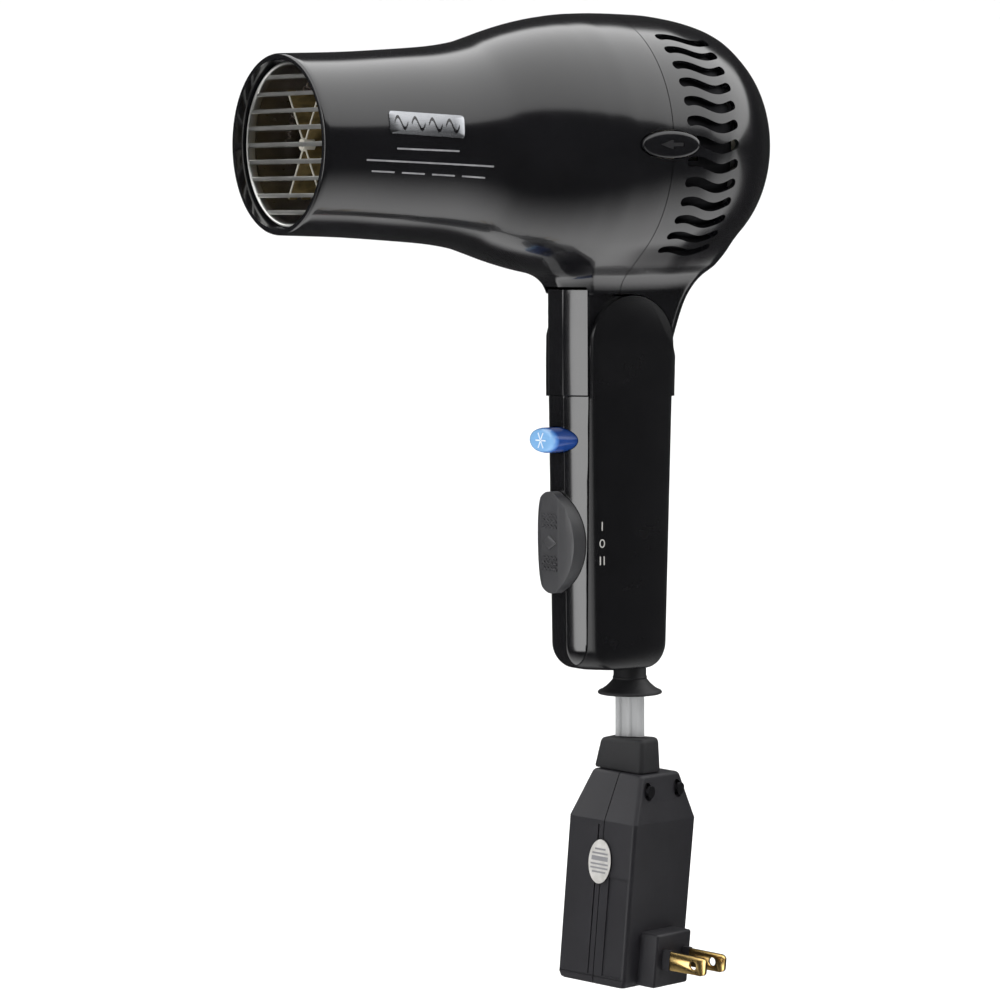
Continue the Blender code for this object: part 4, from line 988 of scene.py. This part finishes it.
def handle():
    """The rear shell with its round cheeks, and the front cover."""
    hollow = handle_solid("handle_hollow", GRIP_WALL, HINGE_Z + 12.0, HANDLE_BOTTOM + GRIP_WALL)
    rear_top = HINGE_Z + 0.3
    cheek = arc((0, 0), CHEEK_RADIUS, -2, 170, 80)
    cheek += [(SEAM_X, -5.5), (SEAM_X, -18.0), (17.7, -18.0), (18.1, -4.0)]
    cheeks = prism("cheeks", cheek, -HANDLE_HALF, HANDLE_HALF, HINGE_SIDE)
    shell = handle_solid("grip_rear", 0.0, rear_top, HANDLE_BOTTOM)
    cut(shell, cheeks, "UNION")
    cut(shell, block("rear_half", (SEAM_X, -30, -60), (60, 30, 100)), "INTERSECT")
    soften(shell, 0.9, 3, 40.0)
    inner = HANDLE_HALF - GRIP_WALL
    cut(shell, hollow, keep=True)
    cut(shell, block("between_cheeks", (-30, -inner, HINGE_Z - 19.0), (16.2, inner, HINGE_Z + 30)))
    cut(shell, block("behind_hinge", (0, -inner, HINGE_Z - 0.5), (30, inner, HINGE_Z + 30)))
    pin_hole = oval(PIN_HOLE_RADIUS, PIN_HOLE_RADIUS, 40)
    cut(shell, prism("pin_sockets", pin_hole, -PIN_HOLE_REACH, PIN_HOLE_REACH, HINGE_ACROSS))
    cut(shell, prism("grommet_room", oval(6.1, 6.1, 40), HANDLE_BOTTOM - 5, HANDLE_BOTTOM + 5, at(CORD_X)))
    for i, height in enumerate(SCREW_HEIGHTS):
        place = at(handle_edges(height)[1], 0, height) @ AXIS_X
        cut(shell, prism(f"screw_hole_{i}", oval(SCREW_RADIUS, SCREW_RADIUS, 24), -9, 9, place))
        cut(shell, prism(f"screw_seat_{i}", oval(SCREW_HEAD_RADIUS, SCREW_HEAD_RADIUS, 32), -1.0, 9, place))
    cover = handle_solid("grip_front", 0.0, rear_top, HANDLE_BOTTOM)
    cut(cover, block("front_half", (-60, -30, -60), (SEAM_X - GAP, 30, FRONT_SEAM_Z)), "INTERSECT")
    weld(cover.data, 0.05)
    soften(cover, 0.25, 2, 50.0)
    cut(cover, hollow)
    cool_room = oval(COOL_HALF[0] + COOL_ROOM, COOL_HALF[1] + COOL_ROOM, 48)
    for piece in (shell, cover):
        cut(piece, prism("cool_room", cool_room, -30, -10, COOL_FACE))
    cut(cover, prism("slider_room", stadium(30.0, 5.2), -30, -10, SLIDER_UPRIGHT))
    finish_piece(shell, "matte_black", "handle", "handle_rear_shell")
    finish_piece(cover, "gloss_black", "handle", "handle_front_cover")


def top_strip():
    """The bulged strip over the cover, with two flat sides around the hinge and a tongue behind the cover."""
    outer = [(HANDLE_FRONT_TOP + x, y) for x, y in front_profile(HANDLE_HALF) if abs(y) < STRIP_HALF]
    inner = [(x + STRIP_THICKNESS, y) for x, y in reversed(outer)]
    strip = prism("upper_front", outer + inner, FRONT_SEAM_Z + GAP, high_mm("handle_top_strip").z)
    soften(strip, 0.5, 3, 60.0)
    for side in (-1, 1):
        place = at(0, side * STRIP_SIDE_Y, HINGE_Z) @ OUTLINE_XZ
        cut(strip, prism(f"strip_side_{side}", STRIP_SIDE, -0.5, 0.5, place), "UNION")
    cut(strip, prism("strip_pin_room", oval(8.2, 8.2, 40), -30, 30, HINGE_ACROSS))
    cut(strip, block("tongue_root", (-21.4, -4, FRONT_SEAM_Z + 0.8), (-18.4, 4, FRONT_SEAM_Z + 6)), "UNION")
    cut(strip, block("tongue", (-19.6, -4, FRONT_SEAM_Z - 6), (-18.4, 4, FRONT_SEAM_Z + 5)), "UNION")
    finish_piece(strip, "gloss_black", "handle", "handle_top_strip")


def cool_button():
    """A blue oval, its face painted paler as if lit and its sides painted darker as shade, and a raised frost
    star.
    """
    button = rings_mesh("cool_cap", [[(x, y * grow, COOL_Z + z * grow) for y, z in oval(*COOL_HALF, 64)]
                                     for x, grow in COOL_DOME])
    cut(button, block("cool_stem", (-20.5, -3.0, COOL_Z - 2.5), (-15.4, 3.0, COOL_Z + 2.5)), "UNION")
    finish_piece(button, "blue_plastic", "cool_button", "cool_button")
    arms = []
    for k in range(6):
        arm = [tilted(u, v, math.pi / 3 * k) for u, v in oblong(0.25, -0.24, 3.0, 0.24)]
        arms.append(prism(f"frost_{k}", arm, -29.48, -29.0, COOL_FACE))
    finish_piece(merged("frost_star", arms), "frost_white", "cool_button")


def slider():
    """An oval thumb slider that follows the handle's front, with ribs and a diamond nub."""
    slider = prism("speed_thumb", oval(*SLIDER_HALF, 80), -30.0, -18.0, SLIDER_FACE)
    cut(slider, handle_solid("slider_outside", -SLIDER_PROUD, HINGE_Z, HANDLE_BOTTOM), "INTERSECT")
    soften(slider, 0.8, 4, 45.0)
    cut(slider, handle_solid("slider_underside", -SLIDER_GAP, HINGE_Z, HANDLE_BOTTOM))
    cut(slider, prism("slider_stem", stadium(12.0, 4.4), -25.0, -15.3, SLIDER_UPRIGHT), "UNION")
    finish_piece(slider, "slider_satin", "speed_slider", "speed_slider")
    front = handle_edges(SLIDER_Z)[0] - SLIDER_PROUD
    ribs = []
    for height in RIB_HEIGHTS:
        zigzag = [(RIB_START + RIB_STEP * k, height + (0.55 if k % 2 else -0.15)) for k in range(9)]
        band = ([(y, z + RIB_HALF_WIDTH) for y, z in zigzag]
                + [(y, z - RIB_HALF_WIDTH) for y, z in reversed(zigzag)])
        ribs.append(prism(f"slider_rib_{height}", band, front - RIB_LIFT, front + 0.8, SLIDER_FACE))
    nub = [[(x, y * grow, SLIDER_Z + z * grow) for y, z in NUB]
           for x, grow in ((front + 0.8, 1.0), (front - 0.35, 1.0), (front - 0.6, 0.86), (front - 0.68, 0.5))]
    ribs.append(rings_mesh("slider_nub", nub))
    finish_piece(merged("slider_ribs", ribs), "slider_satin", "speed_slider", sharp=50.0)


def mark_ring(height, low, high):
    count = 32
    both = oval(1.15, MARK_HALF_HEIGHT, count) + oval(0.75, 1.1, count)
    points = [(MARK_X + u, height + v, level) for level in (low, high) for u, v in both]
    faces = []
    for i in range(count):
        j = (i + 1) % count
        faces += [(i, j, count + j, count + i), (2 * count + i, 3 * count + i, 3 * count + j, 2 * count + j),
                  (i, 2 * count + i, 2 * count + j, j), (count + i, count + j, 3 * count + j, 3 * count + i)]
    return from_points("mark_ring", points, faces, OUTLINE_XZ)


def speed_marks():
    """A generic I, 0 and II beside the slider, printed on the rear shell."""
    marks = []
    low, high = HANDLE_HALF - MARK_UNDER, HANDLE_HALF + MARK_OVER
    for row, bars in ((1, (0.0,)), (0, ()), (-1, (-0.8, 0.8))):
        height = SLIDER_Z + row * MARK_PITCH
        for x in bars:
            left, right = MARK_X + x - MARK_HALF_WIDTH, MARK_X + x + MARK_HALF_WIDTH
            outline = oblong(left, height - MARK_HALF_HEIGHT, right, height + MARK_HALF_HEIGHT)
            marks.append(prism(f"mark_{row}_{x}", outline, low, high, OUTLINE_XZ))
        if not bars:
            marks.append(mark_ring(height, low, high))
    finish_piece(merged("speed_marks", marks), "paper", "handle")


# Cord, plug and reel


CORD_WIDTH, CORD_THICKNESS, CORD_WAIST = 10.6, 3.0, 0.36
LOBES, STEPS_PER_LOBE, TOO_NEAR = 3, 14, 0.02


def cord_section():
    """A flat three-core cord: three round lobes side by side."""
    pitch = (CORD_WIDTH - CORD_THICKNESS) / (LOBES - 1)
    steps = STEPS_PER_LOBE * LOBES
    radius = CORD_THICKNESS / 2
    points = []
    for side in (1, -1):
        for k in range(steps + 1):
            u = side * (CORD_WIDTH / 2 - CORD_WIDTH * k / steps)
            off = min(min(abs(u - (i - 1) * pitch) for i in range(LOBES)), radius)
            v = math.sqrt(max(radius ** 2 - off ** 2, 0.0))
            points.append((u, side * max(v, CORD_THICKNESS * CORD_WAIST if abs(u) < pitch else 0.0)))
    clean = []
    for p in points:
        if not clean or math.dist(p, clean[-1]) > TOO_NEAR:
            clean.append(p)
    return clean[:-1] if math.dist(clean[0], clean[-1]) < TOO_NEAR else clean


def hanging_cord():
    """The short hanging run of cord, a little uneven along its length, and its middle line."""
    section = cord_section()
    rings = []
    for k, z in enumerate(np.linspace(CORD_TOP, CORD_FOOT, 60)):
        lean = 0.06 * math.sin(k * 0.7) + 0.03 * math.sin(k * 1.9)
        rings.append([(u, v + lean * (0.2 if abs(v) < 0.2 else 1.0) * 0.5, z) for u, v in section])
    cord = rings_mesh("supply_lead", rings, CORD_PLACE)
    cord.data.materials.append(LOOKS["cord"])
    path = [(CORD_X * MM, 0.0, z * MM) for z in np.linspace(CORD_TOP, CORD_FOOT, 16)]
    return cord, path


# Grommet: radius, depth under the handle's bottom
GROMMET = [(0.0, -4.4), (5.8, -4.4), (5.8, 3.6), (6.1, 4.2), (6.0, 4.8), (6.6, 5.6), (7.4, 6.5), (8.6, 7.6),
           (9.8, 8.4), (10.9, 8.9), (11.3, 9.3), (11.4, 9.7), (11.2, 10.05), (10.8, 10.2), (0.0, 10.2)]


def grommet():
    """The strain relief: a neck in the handle, a ribbed waist and a flared rim."""
    profile = [(r, HANDLE_BOTTOM - drop) for r, drop in GROMMET]
    obj = turned("lead_grommet", profile[::-1], 64, at(CORD_X))
    cut(obj, prism("grommet_slot", stadium(11.2, 3.6), HANDLE_BOTTOM - 20, HANDLE_BOTTOM + 20, CORD_PLACE))
    finish_piece(obj, "rubber", "handle", "cord_grommet")


def rounded_section(front, rear, half, height, corner=1.6, count=6):
    corners = (((front - corner, half - corner), 0), ((rear + corner, half - corner), 90),
               ((rear + corner, -half + corner), 180), ((front - corner, -half + corner), 270))
    return [(x, y, height) for centre, start in corners
            for x, y in arc(centre, corner, start, start + 90, count)]


# Plug body: height over its shoulder, front, rear, half width
PLUG_ROWS = np.array([
    (-74.5, 13.1, -12.6, 18.4), (-74.1, 13.8, -13.4, 18.9), (-72.5, 14.3, -14.0, 19.3),
    (-16.5, 14.2, -14.2, 19.7), (-0.8, 10.7, -10.7, 12.7), (-0.3, 10.35, -10.35, 12.3), (0.0, 9.9, -9.9, 11.8),
])
PLUG_WALL, PARTING = 2.2, 1.0
STEP_Z, FOOT_Z, SEAM_TOP_Z = PLUG_SHOULDER - 36.0, PLUG_BOTTOM + 3.4, PLUG_SHOULDER - 18.0
RELIEF_INNER, RELIEF_OUTER = 18.9, 25.0
BLADE_Z, BLADE_Y, BLADE_HALF_THICKNESS = PLUG_BOTTOM + 10.6, 6.35, 0.75
BLADE = [(7.0, -3.175), (37.6, -3.175), (38.6, -2.8), (39.2, -2.0),
         (39.2, 2.0), (38.6, 2.8), (37.6, 3.175), (7.0, 3.175)]
BLADE_HOLE_X, BLADE_HOLE_RADIUS = 34.0, 1.55
PLUG_SCREW_Z, PLUG_SCREW_Y = PLUG_SHOULDER - 5.6, 9.6
TEST_Z, RESET_Z = PLUG_BOTTOM + 48.0, PLUG_BOTTOM + 36.0
LABEL_X, LABEL_Z, LABEL_TOP = -3.6, PLUG_SHOULDER - 31.0, 20.6
# Stripes on the label: height over its middle, half length
STRIPES = [(4.4, 2.2), (2.9, 3.2), (-0.9, 3.6), (-2.3, 3.6), (-3.7, 2.8)]
STRIPE_HALF_WIDTH = 0.32
# The clamp's rings from its top: share of the way down, share of full size
CLAMP_RINGS = [(0.0, 0.86), (0.02, 0.93), (0.06, 0.97), (0.13, 0.995), (0.5, 1.0), (0.94, 1.0), (1.0, 0.97)]


def plug_body(name, inset):
    """Straight-sided from shoulder to waist and from waist to foot, or the hollow inside it."""
    heights = np.unique(np.concatenate([PLUG_ROWS[:, 0], np.linspace(-72.0, -1.0, 24), [-16.1, -16.9]]))
    rings = []
    for h in heights[::-1]:
        front, rear, half = (float(np.interp(h, PLUG_ROWS[:, 0], PLUG_ROWS[:, k])) for k in (1, 2, 3))
        ends = {heights[0]: inset, heights[-1]: -inset}.get(h, 0.0)
        rings.append(rounded_section(front - inset, rear + inset, half - inset, PLUG_SHOULDER + h + ends))
    return rings_mesh(name, rings, PLUG_PLACE)


def plug_relief(shell, low):
    """Grooves and a shallow panel in both narrow sides, on the side of the seam that the shell is on."""
    for side in (-1, 1):
        inner, outer = sorted((side * RELIEF_INNER, side * RELIEF_OUTER))
        if low > 0:
            relief = block("panel", (4.6, inner, FOOT_Z), (12.4, outer, STEP_Z), PLUG_PLACE)
        else:
            relief = block("seam_groove", (-1.4, inner, FOOT_Z), (-0.9, outer, SEAM_TOP_Z), PLUG_PLACE)
        cut(shell, relief)
        cut(shell, block("foot_groove", (-13.0, inner, FOOT_Z - 0.9), (13.2, outer, FOOT_Z - 0.3), PLUG_PLACE))


def lead_clamp(here):
    """An upright block under the cord whose foot follows the leaning plug."""
    around = at(CORD_X) @ PLUG_UPRIGHT
    top = rounded_section(9.0, -9.0, 5.7, 0.0, 1.7, 8)
    foot = rounded_section(10.2, -10.2, 6.6, 0.0, 1.7, 8)
    rings = []
    for share, ease in CLAMP_RINGS:
        ring = []
        for (x0, y0, _), (x1, y1, _) in zip(top, foot):
            upper = around @ Vector((x0 * ease * MM, y0 * ease * MM, PLUG_TOP * MM))
            lower = PLUG_PLACE @ Vector(((x1 * ease + here.x) * MM, (y1 * ease + here.y) * MM,
                                         (PLUG_SHOULDER + GAP) * MM))
            ring.append(tuple(upper.lerp(lower, share) / MM))
        rings.append(ring)
    return rings_mesh("lead_clamp", rings)


def plug_shell(name, node, low, high, hollow, under_cord):
    """One half of the plug's body, from low to high across the parting."""
    shell = plug_body(name, 0.0)
    if low > 0:
        low_corner, high_corner = (12, -11.0, PLUG_BOTTOM + 0.6), (21.5, 11.0, PLUG_BOTTOM + 19.6)
        pedestal = block("pedestal", low_corner, high_corner, PLUG_PLACE)
        soften(pedestal, 0.9, 3)
        cut(shell, pedestal, "UNION")
    cut(shell, block(name + "_half", (low, -40, -200), (high, 40, 0), PLUG_PLACE), "INTERSECT")
    cut(shell, hollow, keep=True)
    socket = prism(name + "_socket", stadium(14.6, 8.6), PLUG_SHOULDER - 12, PLUG_SHOULDER + 5, under_cord)
    cut(shell, socket)
    if low > 0:
        for side in (-1, 1):
            cut(shell, block("blade_slot", (5, side * BLADE_Y - 1.1, BLADE_Z - 3.6),
                             (30, side * BLADE_Y + 1.1, BLADE_Z + 3.6), PLUG_PLACE))
            screw = PLUG_PLACE @ at(0, side * PLUG_SCREW_Y, PLUG_SCREW_Z) @ AXIS_X
            cut(shell, prism("screw_seat", stadium(6.4, 4.6), 10, 30, screw))
    else:
        for height in (TEST_Z, RESET_Z):
            cut(shell, block("window", (-30, -5.3, height - 3.3), (-5, 5.3, height + 3.3), PLUG_PLACE))
    plug_relief(shell, low)
    return finish_piece(shell, "plug_black", "plug", node)


def plug_blade(side, word, node):
    """A blade with its hole, and the sleeve that it comes out of."""
    y = side * BLADE_Y
    place = PLUG_PLACE @ at(0, y, BLADE_Z) @ OUTLINE_XZ
    blade = prism(f"blade_{word}", BLADE, -BLADE_HALF_THICKNESS, BLADE_HALF_THICKNESS, place)
    hole = oval(BLADE_HOLE_RADIUS, BLADE_HOLE_RADIUS, 32)
    cut(blade, prism("blade_hole", hole, -5, 5, place @ at(BLADE_HOLE_X)))
    soften(blade, 0.22, 2)
    sleeve = block(f"blade_root_{word}", (21.2, y - 1.05, BLADE_Z - 3.5), (24.6, y + 1.05, BLADE_Z + 3.5),
                   PLUG_PLACE)
    cut(sleeve, block("sleeve_core", (20, y - 0.8, BLADE_Z - 3.25), (26, y + 0.8, BLADE_Z + 3.25), PLUG_PLACE))
    return [finish_piece(blade, "brass", "plug", node), finish_piece(sleeve, "plug_black", "plug")]


def plug_label():
    """An oval sticker with plain stripes."""
    spot = PLUG_PLACE @ at(4.4, 0, LABEL_Z) @ OUTLINE_XZ
    outline = [(u + LABEL_X, v) for u, v in oval(4.6, 7.8, 56)]
    label = prism("plug_sticker", outline, 20.0 + GAP, LABEL_TOP, spot)
    soften(label, 0.1, 2)
    bars = [oblong(LABEL_X - half, height - STRIPE_HALF_WIDTH, LABEL_X + half, height + STRIPE_HALF_WIDTH)
            for height, half in STRIPES]
    bars.append(oblong(-7.0, 0.3, -0.2, 1.9))
    stripes = [prism(f"sticker_bar_{k}", bar, LABEL_TOP - 0.05, LABEL_TOP + 0.06, spot)
               for k, bar in enumerate(bars)]
    return [finish_piece(label, "paper", "plug", "plug_label"),
            finish_piece(merged("sticker_stripes", stripes), "grey_plastic", "plug")]


def plug():
    here = PLUG_PLACE.inverted() @ Vector((CORD_X * MM, 0, PLUG_TOP * MM)) / MM
    under_cord = PLUG_PLACE @ at(here.x, here.y)
    hollow = plug_body("plug_hollow", PLUG_WALL)
    made = [plug_shell("plug_front", "plug_front_shell", PARTING + GAP / 2, 40, hollow, under_cord),
            plug_shell("plug_back", "plug_rear_shell", -40, PARTING - GAP / 2, hollow, under_cord)]
    bpy.data.objects.remove(hollow)
    neck = lead_clamp(here)
    cut(neck, prism("neck_root", stadium(14.0, 8.0), PLUG_SHOULDER - 5, PLUG_SHOULDER + 4, under_cord), "UNION")
    made.append(finish_piece(neck, "rubber", "plug", "plug_neck"))
    made += plug_blade(-1, "near", "plug_blade_near") + plug_blade(1, "far", "plug_blade_far")
    return made + plug_label()


def mend_slots():
    """Every CAD node that stays gets the procedural material of its own slot."""
    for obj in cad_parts.values():
        for place in obj.material_slots:
            name = place.material.name.split(".")[0]
            if name in LOOKS:
                place.material = LOOKS[name]


mend_slots()
lead, lead_path = hanging_cord()
plug_parts = plug()
housings()
outlet_grille()
mica_frame()
heater_coil()
badge()
rewind_button()
handle()
top_strip()
cool_button()
slider()
speed_marks()
grommet()
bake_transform(lead)
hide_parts("supply_cord")


# Floor and light


STRIP_LIGHT, FLOOR_LIGHT, ROOM_LIGHT = 4.2, 1.5, 0.035
# Floor and its curved back: distance behind the object and height, in metres
BACKDROP = [(-2.5, 0.0), (1.2, 0.0), (1.6, 0.05), (1.9, 0.2), (2.05, 0.5), (2.1, 2.6)]
BACKDROP_HALF = 3.0


def studio_world():
    """White to the camera; in reflections a softbox overhead, a glow from below and a strip at the left."""
    world = bpy.data.worlds.new("studio")
    world.use_nodes = True
    tree = world.node_tree
    where = tree.nodes.new("ShaderNodeTexCoord").outputs["Generated"]

    def vector_dot(axis):
        made = tree.nodes.new("ShaderNodeVectorMath")
        made.operation = "DOT_PRODUCT"
        tree.links.new(where, made.inputs[0])
        made.inputs[1].default_value = axis
        return made.outputs["Value"]

    def math_node(operation, a, b):
        made = tree.nodes.new("ShaderNodeMath")
        made.operation = operation
        for socket, value in zip(made.inputs, (a, b)):
            if isinstance(value, (int, float)):
                socket.default_value = value
            else:
                tree.links.new(value, socket)
        return made.outputs["Value"]

    def step(value, start, end, low=0.0, high=1.0, kind="SMOOTHSTEP"):
        made = tree.nodes.new("ShaderNodeMapRange")
        made.interpolation_type = kind
        for name, number in (("From Min", start), ("From Max", end), ("To Min", low), ("To Max", high)):
            made.inputs[name].default_value = number
        tree.links.new(value, made.inputs["Value"])
        return made.outputs["Result"]

    def product(*values):
        total = values[0]
        for value in values[1:]:
            total = math_node("MULTIPLY", total, value)
        return total

    ahead = vector_dot((math.sin(AZIMUTH), -math.cos(AZIMUTH), 0.0))
    side, rise = vector_dot(tuple(RIGHT)), vector_dot((0, 0, 1))
    lift = math_node("ARCTAN2", rise, ahead)
    swing = math_node("ARCTAN2", side, ahead)
    brighter = step(lift, 0.6, 2.3, 1.25, 2.6, "LINEAR")
    over = product(step(lift, 0.6, 0.72), step(lift, 2.28, 2.42, 1.0, 0.0), brighter)
    under = product(step(lift, -0.85, -1.75), step(lift, -2.0, -2.2, 1.0, 0.0), FLOOR_LIGHT)
    strip = product(step(swing, -0.46, -0.52), step(swing, -0.86, -0.92, 1.0, 0.0), step(rise, 0.5, 0.4),
                    STRIP_LIGHT, step(rise, -0.5, -0.4))
    light = math_node("ADD", math_node("ADD", over, under), math_node("ADD", strip, ROOM_LIGHT))
    plain, seen = tree.nodes["Background"], tree.nodes.new("ShaderNodeBackground")
    plain.inputs["Color"].default_value = seen.inputs["Color"].default_value = (1.0, 1.0, 1.0, 1.0)
    tree.links.new(light, plain.inputs["Strength"])
    seen.inputs["Strength"].default_value = 1.0
    ray, mix = tree.nodes.new("ShaderNodeLightPath"), tree.nodes.new("ShaderNodeMixShader")
    tree.links.new(ray.outputs["Is Camera Ray"], mix.inputs["Fac"])
    tree.links.new(plain.outputs["Background"], mix.inputs[1])
    tree.links.new(seen.outputs["Background"], mix.inputs[2])
    tree.links.new(mix.outputs["Shader"], tree.nodes["World Output"].inputs["Surface"])
    bpy.context.scene.world = world
    bpy.context.scene.view_settings.view_transform = "Standard"


def studio():
    studio_world()
    work = bmesh.new()
    ring = []
    for depth, rise in BACKDROP:
        ring.append([work.verts.new(-BACK * depth + RIGHT * side * BACKDROP_HALF) for side in (-1, 1)])
        for vertex in ring[-1]:
            vertex.co.z = FLOOR_Z * MM + rise
    for a, b in zip(ring, ring[1:]):
        work.faces.new((a[0], a[1], b[1], b[0]))
    data = bpy.data.meshes.new("studio_floor")
    work.to_mesh(data)
    floor = bpy.data.objects.new("studio_floor", data)
    for polygon in data.polygons:
        polygon.use_smooth = True
    look = Look("studio_paper", 0.9, specular=0.1)
    look.paint(look.noise(3.0, 3.0), (0.3, (0.9, 0.9, 0.9)), (0.7, (0.94, 0.94, 0.94)))
    data.materials.append(look.material)
    bpy.context.scene.collection.objects.link(floor)
    floor.visible_glossy = False


studio()
